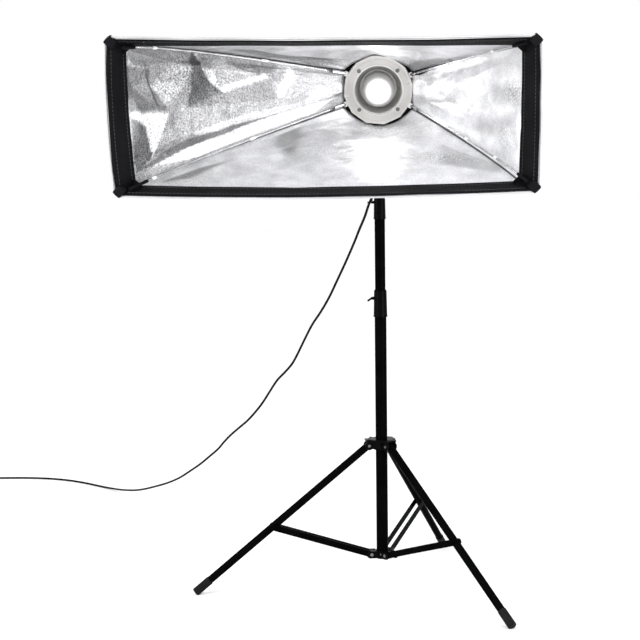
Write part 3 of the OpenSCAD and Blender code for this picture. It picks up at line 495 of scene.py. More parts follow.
head_line = spline([col(*p) for p in RUN_HEAD], 0.004)
cord_head = tube("lead_head", head_line, CORD_D / 2, 12, M_PVC)
neck = tube("lead_neck", spline([col(*p) for p in RUN_NECK], 0.003), CORD_D / 2, 12, M_PVC)
slack = tube("lead_slack", spline([col(*p) for p in RUN_TUBE], 0.003), CORD_D / 2, 12, M_PVC)
route = spline([col(*p) for p in RUN_MAIN] + [col(*p) for p in coil] + [col(*p) for p in TAIL], 0.004)
cord_main = tube("lead_main", route, CORD_D / 2, 12, M_PVC)
LEN_MAIN = float(np.linalg.norm(np.diff(route, axis=0), axis=1).sum())
print("main cord", round(LEN_MAIN, 3), "head", round(float(np.linalg.norm(np.diff(head_line, axis=0), axis=1).sum()), 3))

# a hook-and-loop tie over the stored coil
tie_pts = []
for k in range(0, 25):
    w = math.pi * k / 24
    tie_pts.append([31 - 6.6 * math.cos(w) * (1.0 if abs(math.cos(w)) > 0.2 else 1.0), 0, 5.5 + 6.6 * math.sin(w)])
tie_pts = [[24.4, 0, 0.6]] + tie_pts + [[37.6, 0, 0.6]]
verts, faces = [], []
wa = math.radians(70)
for p in tie_pts:
    for off in (-5, 5):
        for thick in (0, 0.8):
            d = np.array([p[0] - 31, p[2] - 5.5])
            d = d / max(np.linalg.norm(d), 1e-6)
            rr, zz = p[0] + d[0] * thick, p[2] + d[1] * thick
            verts.append(col(COIL[0] + rr * math.cos(wa) - off * math.sin(wa), COIL[1] + rr * math.sin(wa) + off * math.cos(wa), max(0.3, zz)))
for i in range(len(tie_pts) - 1):
    b = i * 4
    for q in ((0, 1, 5, 4), (1, 3, 7, 5), (3, 2, 6, 7), (2, 0, 4, 6)):
        faces.append(tuple(b + k for k in q))
coil_tie = link("coil_tie", verts, faces, True, [M_LIP])

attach(coil_tie, "base")
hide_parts("cord_head")
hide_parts("cord_neck")
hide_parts("cord_tube")
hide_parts("cord_main", "cord_coil")
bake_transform(cord_head)
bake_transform(neck)
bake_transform(slack)
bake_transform(cord_main)

# ------------------------------------------------------------------ softbox fabric
S0, S1, SR = -18.0, 295.0, 340.0
ROD_A = [(-66, 33.5), (66, 29), (-67.5, -29), (66, -34)]          # top left, top right, bottom left, bottom right
ROD_B = [(-452, 127.5), (260, 125), (-455, -127.5), (266, -121)]
ROD_BOW = [0.75, 0.15, 0.4, 0.5]
RIM = [(-479.3, 143.0), (282.7, 135.0), (-478.3, -135.5), (284.7, -135.5)]
SEAM = [(-456.0, 128.0), (259.5, 119.0), (-451.5, -129.5), (258.0, -130.0)]


def rod_at(i, s):
    t = max(0.0, (s + 9) / 339.0)
    g = t * (1 + ROD_BOW[i] * (1 - t))
    a, b = np.array(ROD_A[i], float), np.array(ROD_B[i], float)
    return a + (b - a) * g


def corner(i, s):
    """Corner line of the lining: just outside the rod, ending at the lip's seam."""
    k = (s - S0) / (S1 - S0)
    near = np.array([math.copysign(3, ROD_A[i][0]), math.copysign(5, ROD_A[i][1])])
    far = np.array(SEAM[i]) - rod_at(i, S1)
    return rod_at(i, s) + near * (1 - k) + far * k


def rim_corner(i, s):
    t = (s - S1) / (SR - S1)
    return np.array(SEAM[i]) * (1 - t) + np.array(RIM[i]) * t


PANEL = {"left": (2, 0), "right": (3, 1), "top": (0, 1), "bottom": (2, 3)}
INWARD = {"left": (1, 0), "right": (-1, 0), "top": (0, -1), "bottom": (0, 1)}
# Fold points of each panel: (across, along, height in mm towards the inside). Across runs between the rods,
# bottom to top or left to right; along runs from the ring to the lip.
FOLDS = {
    "left": [(0, 0, 0), (1, 0, 0), (0, 1, 0), (1, 1, 0), (0.5, 1.0, 9), (0.5, 0.0, 6),
             (0.53, 1.0, 11), (0.51, 0.84, 13), (0.49, 0.74, 9), (0.46, 0.45, 12), (0.44, 0.16, 9),
             (0.86, 0.96, 3), (0.83, 0.90, 12), (0.87, 0.69, 2), (0.63, 0.72, 15), (0.84, 0.62, 10),
             (0.60, 0.57, 3), (0.76, 0.35, 10), (0.82, 0.51, -4), (0.93, 0.23, 2), (0.44, 0.35, 12), (0.70, 0.27, 10),
             (0.17, 0.92, 0), (0.25, 0.77, 9), (0.38, 0.07, 6), (0.14, 0.71, -4), (0.24, 0.58, 12), (0.08, 0.99, 2),
             (0.26, 0.09, 1), (0.12, 0.45, -3), (0.30, 0.40, 9), (0.16, 0.30, 0), (0.2, 1.0, -3), (0.75, 0.98, -4), (0.66, 0.86, -2),
             (0.97, 0.5, 0), (0.95, 0.8, 1)],
    "right": [(0, 0, 0), (1, 0, 0), (0, 1, 0), (1, 1, 0), (0.5, 0, 5), (0.5, 1, 3), (0.60, 0.25, 12), (0.47, 0.77, 12),
              (0.66, 0.92, 0), (0.47, 0.40, 4), (0.09, 0.47, 8), (0.36, 0.16, 9), (0.45, 0.98, 5), (0.29, 0.73, 2),
              (0.08, 0.17, 4), (0.23, 0.03, 3), (0.20, 0.85, 9), (0.78, 0.6, 9), (0.85, 0.3, 1), (0.3, 0.5, 10), (0.05, 0.8, 6), (0.8, 0.8, 2)],
    "top": [(0, 0, 0), (1, 0, 0), (0, 1, 0), (1, 1, 0), (0.5, 0, 0), (0.5, 1, 0), (0.04, 0.21, -4), (0.25, 0.04, 4), (0.42, 0.0, 0),
            (0.71, 0.04, 3), (0.93, 0.17, -5), (0.08, 0.72, 3), (0.15, 0.56, -4), (0.19, 0.41, 5), (0.5, 0.3, -4), (0.5, 0.6, 4), (0.8, 0.5, -3), (0.85, 0.3, 5), (0.3, 0.8, 2), (0.75, 0.85, 2)],
    "bottom": [(0, 0, 0), (1, 0, 0), (0, 1, 0), (1, 1, 0), (0.5, 0, 0), (0.5, 1, 2), (0.30, 0.67, -6), (0.08, 0.21, 4), (0.24, 0.53, 8),
               (0.36, 0.33, 9), (0.5, 0.21, 2), (0.62, 0.95, 4), (0.9, 0.54, 3), (0.96, 0.94, 1), (0.04, 0.96, 1), (0.09, 0.76, 2),
               (0.81, 0.19, 3), (0.40, 0.62, 10), (0.34, 0.72, -3), (0.6, 0.5, 1), (0.62, 0.3, 7), (0.75, 0.75, 7), (0.15, 0.5, 4), (0.2, 0.9, 0)],
}
# edges that must stay sharp, as pairs of point numbers above
CREASE = {
    "left": [(6, 7), (7, 8), (8, 9), (9, 20), (20, 10), (11, 7), (12, 7), (12, 11), (13, 14), (14, 8), (15, 16), (16, 17), (15, 18), (19, 20), (7, 22), (6, 22),
             (23, 26), (26, 30), (30, 24), (25, 29), (29, 31), (31, 28), (23, 25)],
    "right": [(6, 9), (9, 7), (8, 7), (11, 19), (19, 10)],
    "top": [(6, 13), (13, 12), (14, 15), (10, 17), (17, 16)],
    "bottom": [(6, 17), (8, 17), (9, 8), (6, 18), (17, 18)],
}


def fold_field(name, A, T):
    """Piecewise flat height over the fold points, like creased foil."""
    pts = FOLDS[name]
    vs, es, fs, ov, oe, of = delaunay_2d_cdt([Vector((p[0], p[1])) for p in pts], [tuple(e) for e in CREASE[name]], [], 0, 1e-6)
    h = []
    for k, v in enumerate(vs):
        src = ov[k]
        if src:
            h.append(pts[src[0]][2])
        else:                                 # a crossing of two creases
            d = sorted(((v - Vector((p[0], p[1]))).length, p[2]) for p in pts)[:3]
            h.append(sum(q[1] / (q[0] + 1e-4) for q in d) / sum(1 / (q[0] + 1e-4) for q in d))
    out = np.zeros(A.shape)
    hit = np.zeros(A.shape, bool)
    for f in fs:
        for k in range(1, len(f) - 1):
            i0, i1, i2 = f[0], f[k], f[k + 1]
            x0, x1, x2 = vs[i0], vs[i1], vs[i2]
            det = (x1.y - x2.y) * (x0.x - x2.x) + (x2.x - x1.x) * (x0.y - x2.y)
            if abs(det) < 1e-12:
                continue
            l0 = ((x1.y - x2.y) * (A - x2.x) + (x2.x - x1.x) * (T - x2.y)) / det
            l1 = ((x2.y - x0.y) * (A - x2.x) + (x0.x - x2.x) * (T - x2.y)) / det
            l2 = 1 - l0 - l1
            inside = (l0 >= -1e-6) & (l1 >= -1e-6) & (l2 >= -1e-6) & ~hit
            out[inside] = (l0 * h[i0] + l1 * h[i1] + l2 * h[i2])[inside]
            hit |= inside
    return out


BOW_SEAM = {"top": 0.0, "bottom": 7.3, "left": 3.0, "right": 1.0}
BOW_RIM = {"top": -5.0, "bottom": 7.3, "left": 5.2, "right": 1.6}


def bow(name, a, s):
    """Outward bow of a panel or of the lip, in mm."""
    if s < S1:
        b = BOW_SEAM[name] * max(0.0, (s - S0) / (S1 - S0)) ** 2
    else:
        t = (s - S1) / (SR - S1)
        b = BOW_SEAM[name] * (1 - t) + BOW_RIM[name] * t
    return b * 4 * a * (1 - a)


def arch(name, a, k):
    if name == "top":
        return np.array([0, 34 * k ** 1.5 * 4 * a * (1 - a)])
    if name == "bottom":
        return np.array([0, -38 * k ** 1.5 * 4 * a * (1 - a)])
    return np.array([0.0, 0.0])


def panel(name, na, nt, lift, mat, part, flip=False, folds=1.0, s_lo=S0, s_hi=S1):
    i, j = PANEL[name]
    a_ = np.linspace(0, 1, na)
    a_ = a_ - 0.72 * np.sin(2 * math.pi * a_) / (2 * math.pi)      # closer rows beside the rods
    t_ = np.linspace((s_lo - S0) / (S1 - S0), (s_hi - S0) / (S1 - S0), nt)
    A, T = np.meshgrid(a_, t_, indexing="ij")
    H = fold_field(name, A, T)
    # the folds die away at the rods and are softened a little
    edge = np.minimum(1, np.minimum(A, 1 - A) / 0.13) ** 2 * np.clip((1.0 - T) / 0.035, 0.0, 1.0)
    H = H * edge
    for _ in range(2):
        H[1:-1, 1:-1] = 0.5 * H[1:-1, 1:-1] + 0.125 * (H[:-2, 1:-1] + H[2:, 1:-1] + H[1:-1, :-2] + H[1:-1, 2:])
    n2 = np.array(INWARD[name], float)
    verts = []
    for x in range(na):
        for y in range(nt):
            a, t = A[x, y], T[x, y]
            s = S0 + (S1 - S0) * t
            q = corner(i, s) * (1 - a) + corner(j, s) * a + arch(name, a, 1 - t)
            w = noise.fractal(Vector((a * 7 + ord(name[0]), t * 9, lift * 0.0)), 1.0, 2.0, 4) * 1.6 * edge[x, y]
            q = q + n2 * ((H[x, y] * folds + w) - lift - bow(name, a, s))
            verts.append(head(q[0], q[1], s))
    faces = []
    for x in range(na - 1):
        for y in range(nt - 1):
            f = (x * nt + y, (x + 1) * nt + y, (x + 1) * nt + y + 1, x * nt + y + 1)
            faces.append(tuple(reversed(f)) if flip else f)
    return link(part, verts, faces, True, [mat]), A, T


SPECK = {
    "left": [(0.70, 0.65, 0.30, 0.95), (0.35, 0.80, 0.25, 0.75), (0.20, 0.95, 0.2, 0.9), (0.7, 0.9, 0.2, 0.7), (0.9, 0.45, 0.25, 0.55), (0.35, 0.45, 0.2, 0.6), (0.55, 0.4, 0.2, 0.5)],
    "right": [(0.66, 0.92, 0.10, 0.75), (0.30, 0.85, 0.10, 0.5), (0.5, 0.35, 0.12, 0.3), (0.9, 0.1, 0.12, 0.5)],
    "top": [(0.1, 0.15, 0.15, 0.6), (0.9, 0.1, 0.15, 0.6)],
    "bottom": [(0.86, 0.62, 0.12, 0.65), (0.4, 0.5, 0.14, 0.4), (0.5, 0.05, 0.2, 0.45), (0.08, 0.9, 0.1, 0.35), (0.75, 0.2, 0.1, 0.3)],
}


# Painted light and shade on the foil: a brightness for each whole panel, then for its facets as (brightness, outline
# as (across, along) points). The lowest entry wins where they overlap.
PAINTED_PANEL_LIGHT = {"left": 0.6, "right": 1.4, "top": 1.15, "bottom": 1.4}
PAINTED_FACET_LIGHT = {
    "left": [
        (0.27, [(0.86, 0.99), (0.83, 0.87), (0.5, 0.8), (0.53, 1.0)]),
        (0.62, [(0.97, 0.99), (0.86, 0.63), (0.48, 0.68), (0.53, 0.8), (0.83, 0.87), (0.85, 0.97)]),
        (0.22, [(0.85, 0.63), (0.84, 0.57), (0.6, 0.51), (0.49, 0.53), (0.48, 0.68)]),
        (0.12, [(0.86, 0.64), (1.0, 0.59), (0.84, 0.57)]),
        (0.4, [(1.0, 0.99), (0.97, 0.6), (0.86, 0.63), (0.97, 0.99)]),
        (1.1, [(0.84, 0.57), (0.82, 0.51), (0.61, 0.51)]),
        (0.6, [(0.82, 0.51), (0.79, 0.31), (0.61, 0.51)]),
        (0.38, [(0.99, 0.57), (1.0, 0.23), (0.79, 0.29), (0.84, 0.57)]),
        (1.2, [(0.62, 0.51), (0.79, 0.31), (0.74, 0.31), (0.57, 0.51)]),
        (0.42, [(0.58, 0.51), (0.72, 0.29), (0.44, 0.29), (0.48, 0.68)]),
        (1.1, [(0.95, 0.21), (0.76, 0.2), (0.44, 0.28), (0.55, 0.29)]),
        (1.5, [(0.52, 1.0), (0.47, 0.79), (0.16, 0.88), (0.4, 0.92)]),
        (0.24, [(0.49, 0.99), (0.4, 0.92), (0.16, 0.88), (0.08, 0.98)]),
        (0.55, [(0.47, 0.79), (0.44, 0.29), (0.28, 0.52), (0.23, 0.7), (0.17, 0.88)]),
        (1.0, [(0.26, 0.69), (0.3, 0.52), (0.34, 0.19), (0.26, 0.19), (0.21, 0.52), (0.21, 0.63)]),
        (0.3, [(0.09, 0.98), (0.22, 0.7), (0.24, 0.19), (0.17, 0.39), (0.1, 0.84)]),
        (1.2, [(0.09, 0.89), (0.16, 0.53), (0.29, 0.07), (0.09, 0.14), (0.03, 0.65)]),
        (1.0, [(0.65, 0.12), (0.31, 0.06), (0.26, 0.19)]),
    ],
    "bottom": [
        (0.45, [(0.22, 0.5), (0.19, 0.33), (0.13, 0.23), (0.33, 0.62)]),
        (1.3, [(0.15, 0.24), (0.19, 0.12), (0.38, 0.33), (0.34, 0.63)]),
        (0.6, [(0.04, 0.95), (0.1, 0.88), (0.1, 0.63), (0.06, 0.75)]),
        (0.7, [(0.05, 0.34), (0.04, 0.21), (0.19, 0.33), (0.2, 0.49)]),
        (1.0, [(0.89, 0.42), (1.0, 0.73), (0.98, 0.84), (0.82, 0.72)]),
    ],
    "top": [
        (0.5, [(0.05, 0.3), (0.1, 0.22), (0.01, 0.03), (0.0, 0.05)]),
        (1.3, [(0.38, 0.79), (0.7, 0.92), (0.76, 0.31), (0.18, 0.28)]),
        (0.55, [(0.09, 0.53), (0.19, 0.14), (0.06, 0.04), (0.03, 0.29)]),
        (0.6, [(0.98, 0.03), (0.99, 0.42), (0.93, 0.4), (0.89, 0.03)]),
    ],
    "right": [
        (0.95, [(0.7, 0.74), (0.69, 0.97), (0.56, 0.98), (0.54, 0.78)]),
        (1.05, [(0.36, 0.63), (0.46, 0.93), (0.29, 0.82), (0.2, 0.48)]),
        (1.0, [(0.39, 0.04), (0.53, 0.42), (0.44, 0.43), (0.22, 0.08)]),
        (1.2, [(0.91, 0.79), (0.96, 0.98), (0.78, 0.98), (0.75, 0.74)]),
    ],
}


def in_outline(poly, A, T):
    hit = np.zeros(A.shape, bool)
    n = len(poly)
    for k in range(n):
        (x0, y0), (x1, y1) = poly[k], poly[(k + 1) % n]
        if abs(y1 - y0) < 1e-9:
            continue
        hit ^= ((y0 > T) != (y1 > T)) & (A < (x1 - x0) * (T - y0) / (y1 - y0) + x0)
    return hit


# painted light and shade: writes each panel's and facet's brightness onto the lining mesh
def paint_light_and_shade(ob, name, A, T):
    i, j = PANEL[name]
    val = np.full(A.shape, PAINTED_PANEL_LIGHT[name])
    for v, poly in PAINTED_FACET_LIGHT[name]:
        val[in_outline(poly, A, T)] = v
    for _ in range(1 if name == "left" else 8):
        val[1:-1, 1:-1] = 0.4 * val[1:-1, 1:-1] + 0.15 * (val[:-2, 1:-1] + val[2:, 1:-1] + val[1:-1, :-2] + val[1:-1, 2:])
    # darker along the rods: partly a dark seam binding, partly painted shade beside the rods
    for y in range(A.shape[1]):
        s = S0 + (S1 - S0) * T[0, y]
        width = np.linalg.norm(corner(i, s) - corner(j, s))
        val[:, y] *= np.clip(np.minimum(A[:, y], 1 - A[:, y]) * width / 3.4 - 0.15, 0.03, 1.0)
    at = ob.data.attributes.new("painted_light_shade", "FLOAT", "POINT")
    at.data.foreach_set("value", val.reshape(-1).astype(np.float32))


def paint(ob, name, A, T):
    paint_light_and_shade(ob, name, A, T)
    at = ob.data.attributes.new("speckle", "FLOAT", "POINT")
    m = 0.16 if name != "left" else 0.38
    val = np.full(A.shape, m)
    for a, t, r, k in SPECK[name]:
        d = np.hypot((A - a) * 1.0, (T - t) * 1.2) / r
        val = np.maximum(val, m + (k - m) * np.clip(1.25 - d, 0, 1))
    at.data.foreach_set("value", val.reshape(-1).astype(np.float32))


GRID = {"left": (120, 150), "right": (90, 90), "top": (160, 100), "bottom": (160, 110)}
FLAT = {"left": ("wall_left", (0.52, 0.27)), "right": ("wall_right", (0.40, 0.26)), "top": ("wall_top", (0.73, 0.35)), "bottom": ("wall_bottom", (0.73, 0.35))}
skin_area = {}
for name in ("left", "right", "top", "bottom"):
    na, nt = GRID[name]
    flip = name in ("right", "top")
    inner, A, T = panel(name, na, nt, 0.0, M_FOIL, "lining_" + name, flip)
    paint(inner, name, A, T)
    outer, _, _ = panel(name, na, nt, 1.6, M_OUTER, "shell_" + name, not flip, folds=1.0)
    ar = sum(f.area for f in inner.data.polygons)
    i, j = PANEL[name]
    skin_area[name] = ar
    print("panel", name, "area", round(ar, 4))
    for ob, held in ((inner, "stretched"), (outer, "stretched")):
        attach(ob, "softbox")
    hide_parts(FLAT[name][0])

# ------------------------------------------------------------------ black closing cloth behind the ring
def back_outline():
    pts = []
    for name, rev in (("bottom", False), ("right", False), ("top", True), ("left", True)):
        i, j = PANEL[name]
        seq = np.linspace(0, 1, 13)
        if rev:
            seq = seq[::-1]
        for a in seq[:-1]:
            q = corner(i, S0) * (1 - a) + corner(j, S0) * a + arch(name, a, 1.0)
            pts.append(q)
    return pts


loop = back_outline()
verts, faces = [], []
rings = 5
for r in range(rings):
    k = r / (rings - 1)
    for q in loop:
        ang = math.atan2(q[1], q[0])
        inner_q = np.array([math.cos(ang), math.sin(ang)]) * 64.5
        p = q * 1.02 * (1 - k) + inner_q * k
        verts.append(head(p[0], p[1], S0 - 1.5 - 5.5 * math.sin(math.pi * k / 2)))
m = len(loop)
for r in range(rings - 1):
    for k in range(m):
        faces.append((r * m + k, r * m + (k + 1) % m, (r + 1) * m + (k + 1) % m, (r + 1) * m + k))
back_cloth = link("back_cloth", verts, faces, True, [M_OUTER])
modify(back_cloth, "SOLIDIFY", thickness=0.0012, offset=0)
bake(back_cloth)
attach(back_cloth, "softbox")

# ------------------------------------------------------------------ black front lip
strips = []
for name in ("left", "right", "top", "bottom"):
    i, j = PANEL[name]
    n2 = np.array(INWARD[name], float)
    na, nt = (30, 9) if name in ("left", "right") else (70, 9)
    verts, faces = [], []
    prof = []
    for k in range(nt):                         # inside face, seam to rim, a rolled hem, then back along the outside
        prof.append((S1 - 2.5 + (SR - S1 + 0.5) * k / (nt - 1), 1.0 if k == 0 else 0.3))
    for w in (0.25, 0.5, 0.75, 1.0):
        prof.append((SR - 2 + 2 * math.sin(math.pi * w), -2.2 * w))
    for k in range(nt - 1, -1, -1):
        prof.append((S1 - 4 + (SR - S1 + 2) * k / (nt - 1), -2.4))
    for x in range(na):
        a = x / (na - 1)
        fade = min(1.0, 4 * a, 4 * (1 - a))
        wav = 1.1 * fade * noise.noise(Vector((a * (6 if na > 40 else 3), ord(name[0]), 0.3)))
        for s, d in prof:
            q = rim_corner(i, s) * (1 - a) + rim_corner(j, s) * a + n2 * (d + wav - bow(name, a, max(s, S1)))
            verts.append(head(q[0], q[1], s))
    L_ = len(prof)
    for x in range(na - 1):
        for y in range(L_ - 1):
            f = (x * L_ + y, (x + 1) * L_ + y, (x + 1) * L_ + y + 1, x * L_ + y + 1)
            faces.append(tuple(reversed(f)) if name in ("right", "top") else f)
    strips.append(link("lip_" + name, verts, faces, True, [M_LIP]))
# small folded flaps over the inner corners
for i in range(4):
    sx, sy = math.copysign(1, SEAM[i][0]), math.copysign(1, SEAM[i][1])
    c = np.array(SEAM[i])
    tri = [c + [sx * 2, sy * 2], c + [-sx * 15, sy * 1.0], c + [-sx * 9, -sy * 6], c + [sx * 1.0, -sy * 15]]
    vs = [head(p[0], p[1], S1 + 1.5) for p in tri] + [head(p[0], p[1], S1 + 8) for p in tri]
    strips.append(link("flap", vs, [(0, 1, 2, 3), (7, 6, 5, 4), (0, 4, 5, 1), (1, 5, 6, 2), (2, 6, 7, 3), (3, 7, 4, 0)], False, [M_LIP]))
lip = join("lip_cloth", strips)
print("lip area", round(sum(f.area for f in lip.data.polygons), 4), "back", round(sum(f.area for f in back_cloth.data.polygons), 4))
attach(lip, "softbox")
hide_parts("front_lip")

# stitches along both edges of the lip
dash_v, dash_f = [], []
for name in ("left", "right", "top", "bottom"):
    i, j = PANEL[name]
    n2 = np.array(INWARD[name], float)
    length = np.linalg.norm(np.array(RIM[i]) - np.array(RIM[j]))
    count = int(length / 7.0)
    for s in (S1 + 5, SR - 9):
        for k in range(2, count - 2):
            for e in (0, 1):
                a = (k + 0.62 * e) / count
                q = rim_corner(i, s) * (1 - a) + rim_corner(j, s) * a + n2 * (0.3 - bow(name, a, s))
                for ds, dn in ((-0.35, 0.1), (0.35, 0.1), (0, 0.75)):
                    dash_v.append(head(*(q + n2 * dn), s + ds))
            b = len(dash_v) - 6
            dash_f += [(b, b + 1, b + 4, b + 3), (b + 1, b + 2, b + 5, b + 4), (b + 2, b, b + 3, b + 5), (b, b + 2, b + 1), (b + 3, b + 4, b + 5)]
stitches = link("lip_stitches", dash_v, dash_f, False, [M_THREAD])
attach(stitches, "softbox")

# pale piping round the outside of the rim
pipes = []
for name in ("left", "right", "top", "bottom"):
    i, j = PANEL[name]
    n2 = np.array(INWARD[name], float)
    pts = []
    for k in range(41):
        a = k / 40
        q = np.array(RIM[i]) * (1 - a) + np.array(RIM[j]) * a - n2 * (4.4 + bow(name, a, SR - 4))
        pts.append(head(q[0], q[1], SR - 4))
    pipes.append(tube("pipe", pts, 0.0021, 10, M_PIPE))
piping = join("rim_piping", pipes)
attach(piping, "softbox")

# corner pockets: folded, stitched cloth with a blunt diamond nose
pocks = []
for i in range(4):
    x, y = RIM[i]
    sx, sy = math.copysign(1, x), math.copysign(1, y)
    d = np.array([sx, sy]) / math.sqrt(2)
    e = np.array([-sy, sx]) / math.sqrt(2)
    vs, fs = [], []
    prof = [(-15, 8.8), (-5, 8.9), (0.6, 8.7), (2.6, 7.9), (3.2, 4.0), (3.3, 0.0)]
    levels = [(SR - 20, 0.80), (SR - 16, 0.97), (SR - 8, 1.0), (SR - 1.5, 1.0), (SR + 1.2, 0.93), (SR + 2.2, 0.70)]
    outline = [(p, w) for p, w in prof] + [(p, -w) for p, w in reversed(prof[:-1])]
    for s, g in levels:
        for p, w in outline:
            q = np.array([x, y]) + d * (p if p < 0 else p * g) + e * w * g
            vs.append(head(q[0], q[1], s + 0.5 * math.sin(p * 0.7 + w)))
    n = len(outline)
    for k in range(len(levels) - 1):
        for q in range(n):
            fs.append((k * n + q, k * n + (q + 1) % n, (k + 1) * n + (q + 1) % n, (k + 1) * n + q))
    fs.append(tuple(range(n - 1, -1, -1)))
    fs.append(tuple((len(levels) - 1) * n + q for q in range(n)))
    ob = link("pocket", vs, fs, True, [M_LIP])
    modify(ob, "BEVEL", width=0.0005, segments=2, limit_method="ANGLE")
    bake(ob)
    pocks.append(ob)
pockets = join("corner_pocket_cloth", pocks)
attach(pockets, "softbox")
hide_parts("corner_pockets")

# ------------------------------------------------------------------ rods and their tabs
rods = []
for i in range(4):
    pts = []
    for k in range(41):
        s = 4.6 + (330 - 4.6) * k / 40
        q = rod_at(i, s)
        pts.append(head(q[0], q[1], s))
    rods.append(tube("rod", pts, 0.002, 14, M_ROD))
rods = join("rods_fine", rods)
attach(rods, "softbox")
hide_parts("softbox_rods")

sleeves = []
for i in range(4):
    pts = []
    for k in range(13):
        s = 292.5 + 40.0 * k / 12
        q = rod_at(i, s)
        pts.append(head(q[0], q[1], s))
    sleeves.append(tube("sleeve", pts, 0.0031, 12, M_LIP, profile=[0.0027] + [0.0031 + 0.0002 * math.sin(k * 1.7) for k in range(11)] + [0.0029]))
sleeves = join("rod_sleeves", sleeves)
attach(sleeves, "softbox")

TABS = [(0, 78), (0, 245), (2, 115), (2, 280), (1, 100), (1, 232), (3, 126), (3, 212)]
tabs = []
for i, s in TABS:
    c0, c1 = rod_at(i, s - 4), rod_at(i, s + 4)
    p0, p1 = head(c0[0], c0[1], s - 4), head(c1[0], c1[1], s + 4)
    tabs.append(tube("tab", [p0 + (p1 - p0) * k / 6 for k in range(7)], 0.0029, 14, M_TAB, profile=[0.0026, 0.0029, 0.0029, 0.0028, 0.0029, 0.0029, 0.0026]))
    g = corner(i, s)
    d2 = g - rod_at(i, s)
    d2 = d2 / max(1e-6, np.linalg.norm(d2))
    o3 = head(*(rod_at(i, s) + d2 * 3), s)
    far3 = head(*(rod_at(i, s) + (g - rod_at(i, s)) * 0.6), s)
    ax = (p1 - p0) / np.linalg.norm(p1 - p0)
    sd = np.cross(ax, far3 - o3)
    sd = sd / max(1e-9, np.linalg.norm(sd))
    vs = []
    for base in (o3, far3):
        for w in (-0.0035, 0.0035):
            for h in (-0.0006, 0.0006):
                vs.append(base + ax * w + sd * h)
    tabs.append(link("tail", vs, [(0, 1, 3, 2), (4, 6, 7, 5), (0, 4, 5, 1), (2, 3, 7, 6), (0, 2, 6, 4), (1, 5, 7, 3)], False, [M_TAB]))
tabs = join("rod_tabs", tabs)
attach(tabs, "softbox")

# black wedges beside the upper rods, next to the ring, filling the dark gap where the panels part: partly the black
# outer cloth seen through it, partly painted shade
shaded_gaps = []
for i in (0, 1):
    sx = math.copysign(1, ROD_A[i][0])
    vs, fs = [], []
    for k in range(13):
        s = 3.0 + 66.0 * k / 12
        w = 6.6 * (1 - k / 12) ** 0.8 + 0.4
        q = rod_at(i, s)
        for e in (-1, -0.33, 0.33, 1):
            vs.append(head(q[0] + sx * 1.2, q[1] + w * e, s - 3.2 + 0.5 * math.sin(k * 0.9 + e)))
    for k in range(12):
        for e in range(3):
            fs.append((k * 4 + e, k * 4 + e + 1, k * 4 + e + 5, k * 4 + e + 4))
    ob = link("gap_shade_piece", vs, fs, True, [M_OUTER])
    modify(ob, "SOLIDIFY", thickness=0.0008, offset=0)
    shaded_gaps.append(bake(ob))
shaded_gaps = join("rod_gap_shade", shaded_gaps)
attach(shaded_gaps, "softbox")

# ------------------------------------------------------------------ lamp dome, lit in the middle
def revolve(name, prof, n, mat, s_axis=1.0):
    """Turns (radius, s) points in mm about the lamp axis."""
    vs, fs = [], []
    for r, s in prof:
        for k in range(n):
            w = 2 * math.pi * k / n
            vs.append(head(r * math.cos(w), r * math.sin(w), s))
    for i in range(len(prof) - 1):
        for k in range(n):
            fs.append((i * n + k, (i + 1) * n + k, (i + 1) * n + (k + 1) % n, i * n + (k + 1) % n))
    return link(name, vs, fs, True, [mat])


m_d, nt, bsdf = nodes_of("dome_glass_lit")
at = nt.nodes.new("ShaderNodeAttribute")
at.attribute_name = "lit"
nz = nt.nodes.new("ShaderNodeTexNoise")
nz.inputs["Scale"].default_value = 300
tc = nt.nodes.new("ShaderNodeTexCoord")
nt.links.new(tc.outputs["Object"], nz.inputs["Vector"])
rp = nt.nodes.new("ShaderNodeValToRGB")
rp.color_ramp.elements[0].color = (0.34, 0.335, 0.33, 1)
rp.color_ramp.elements[1].color = (0.44, 0.435, 0.43, 1)
nt.links.new(nz.outputs["Fac"], rp.inputs["Fac"])
nt.links.new(rp.outputs["Color"], bsdf.inputs["Base Color"])
bsdf.inputs["Emission Color"].default_value = (1.0, 0.995, 0.985, 1)
ml = nt.nodes.new("ShaderNodeMath")
ml.operation = "MULTIPLY"
ml.inputs[1].default_value = 4.0
nt.links.new(at.outputs["Fac"], ml.inputs[0])
nt.links.new(ml.outputs[0], bsdf.inputs["Emission Strength"])
bsdf.inputs["Roughness"].default_value = 0.32
prof = [(34, -38.5), (34, -20), (34, -5)]
for k in range(1, 15):
    w = math.pi / 2 * k / 14
    prof.append((34 * math.cos(w) if k < 14 else 0.4, -4.8 + 34 * math.sin(w)))
dome = revolve("dome_skin", prof, 64, m_d)
lit = dome.data.attributes.new("lit", "FLOAT", "POINT")
vals = []
for r, s in prof:
    x = (r - 16.0) / (31.0 - 16.0)
    k = 1.0 if x <= 0 else 0.0 if x >= 1 else (1 - x) ** 2.6
    vals += [k if s > -5 else 0.0] * 64
lit.data.foreach_set("value", np.array(vals, np.float32))
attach(dome, "head")
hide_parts("glass_dome")

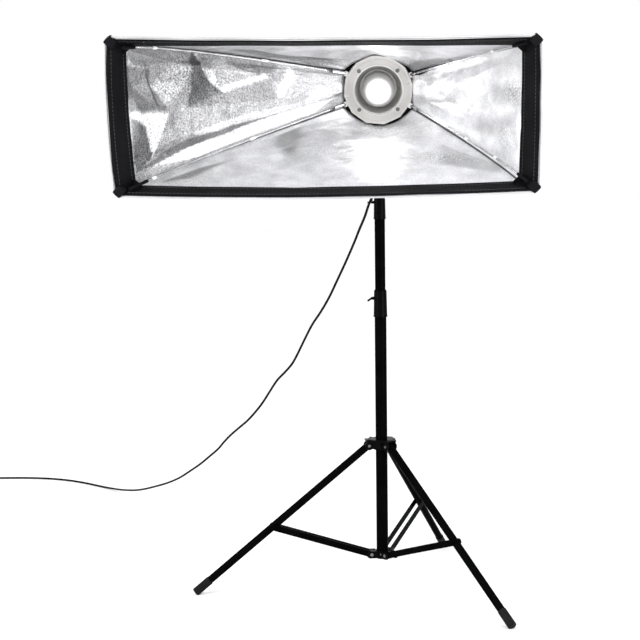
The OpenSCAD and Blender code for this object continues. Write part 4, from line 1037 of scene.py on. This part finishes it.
# ------------------------------------------------------------------ CAD pieces keep their shape and get their finish
FINISH = {
    M_STAND: ["lower_tube", "mid_tube", "top_tube", "leg_right", "leg_left", "leg_rear", "brace_right", "brace_left", "brace_rear"],
    M_NYLON: ["base_plug", "base_collar", "lock_collar_lower", "hub_collar", "hub_knob", "collar_knob_lower", "tube_bush_mid", "lock_collar_upper",
              "collar_knob_upper", "tube_bush_top", "socket_knob", "tilt_knob", "clip_socket", "clip_tube"],
    M_RUBBER: ["foot_right", "foot_left", "foot_rear"],
    M_STEEL: ["tilt_bolt", "rod_sockets"],
    M_RIVET: ["base_rivets", "hub_rivets", "clamp_screws"],
    M_ALU: ["stand_socket", "front_bezel", "release_slide"],
    M_RING: ["speed_ring"],
    M_REFL: ["lamp_plate"],
    M_CASE: ["head_housing", "tilt_lug"],
    M_PANEL: ["rear_panel", "power_dial"],
    M_CTRL: ["panel_controls", "power_rocker"],
    M_RED: ["test_button"],
    M_BOARD: ["inner_electronics"],
    M_LAMP: ["flash_lamp"],
    M_PVC: ["lead_connector", "mains_plug", "cord_coil", "cord_main", "cord_head", "cord_neck", "cord_tube"],
    M_FOIL: ["wall_top", "wall_bottom", "wall_left", "wall_right"],
    M_LIP: ["front_lip", "corner_pockets"],
    M_ROD: ["softbox_rods"],
    M_DOME: ["glass_dome"],
}
for mt, names in FINISH.items():
    for n in names:
        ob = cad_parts[n]
        if not ob.material_slots:
            continue
        for sl in ob.material_slots:
            sl.link = "OBJECT"
            sl.material = mt

# ------------------------------------------------------------------ floor and light
floor = link("floor", [(-20, -12, -0.0004), (20, -12, -0.0004), (20, 28, -0.0004), (-20, 28, -0.0004)], [(0, 1, 2, 3)], False,
             [surface("floor_white", (0.90, 0.90, 0.90), (0.93, 0.93, 0.93), (0.7, 0.8), 0.0, 3, 200, 0.0, spec=0.2)])
world = bpy.data.worlds.new("studio")
bpy.context.scene.world = world
world.use_nodes = True
bg = world.node_tree.nodes["Background"]
bg.inputs["Color"].default_value = (1, 1, 1, 1)
bg.inputs["Strength"].default_value = 1.0


def lamp(name, kind, energy, loc, target, size=None, size_y=None, color=(1, 1, 1)):
    d = bpy.data.lights.new(name, kind)
    d.energy = energy
    d.color = color
    if kind == "AREA":
        d.shape = "RECTANGLE"
        d.size = size
        d.size_y = size_y or size
    if kind == "SUN":
        d.angle = math.radians(20)
    o = bpy.data.objects.new(name, d)
    bpy.context.scene.collection.objects.link(o)
    o.location = loc
    o.rotation_euler = (Vector(target) - Vector(loc)).to_track_quat("-Z", "Y").to_euler()
    return o


lamp("sun", "SUN", 0.8, (-1.2, -2.6, 4.0), (0, 0, 0))
lamp("strip_right", "AREA", 60, (2.3, -2.0, 1.0), (0.1, 0, 0.6), 0.30, 2.0)
lamp("strip_left", "AREA", 24, (-2.4, -1.4, 1.0), (0.1, 0, 0.6), 0.25, 1.8)
lamp("key_left", "AREA", 50, (-1.8, -3.2, 2.4), (0.1, -0.3, 1.0), 1.2, 1.2)
inner = lamp("inside", "POINT", 0.20, tuple(head(0, 0, 52)), tuple(head(0, 0, 300)))
inner.data.shadow_soft_size = 0.022
inner.visible_camera = False
vs_ = bpy.context.scene.view_settings
vs_.view_transform = "Standard"
vs_.look = "None"

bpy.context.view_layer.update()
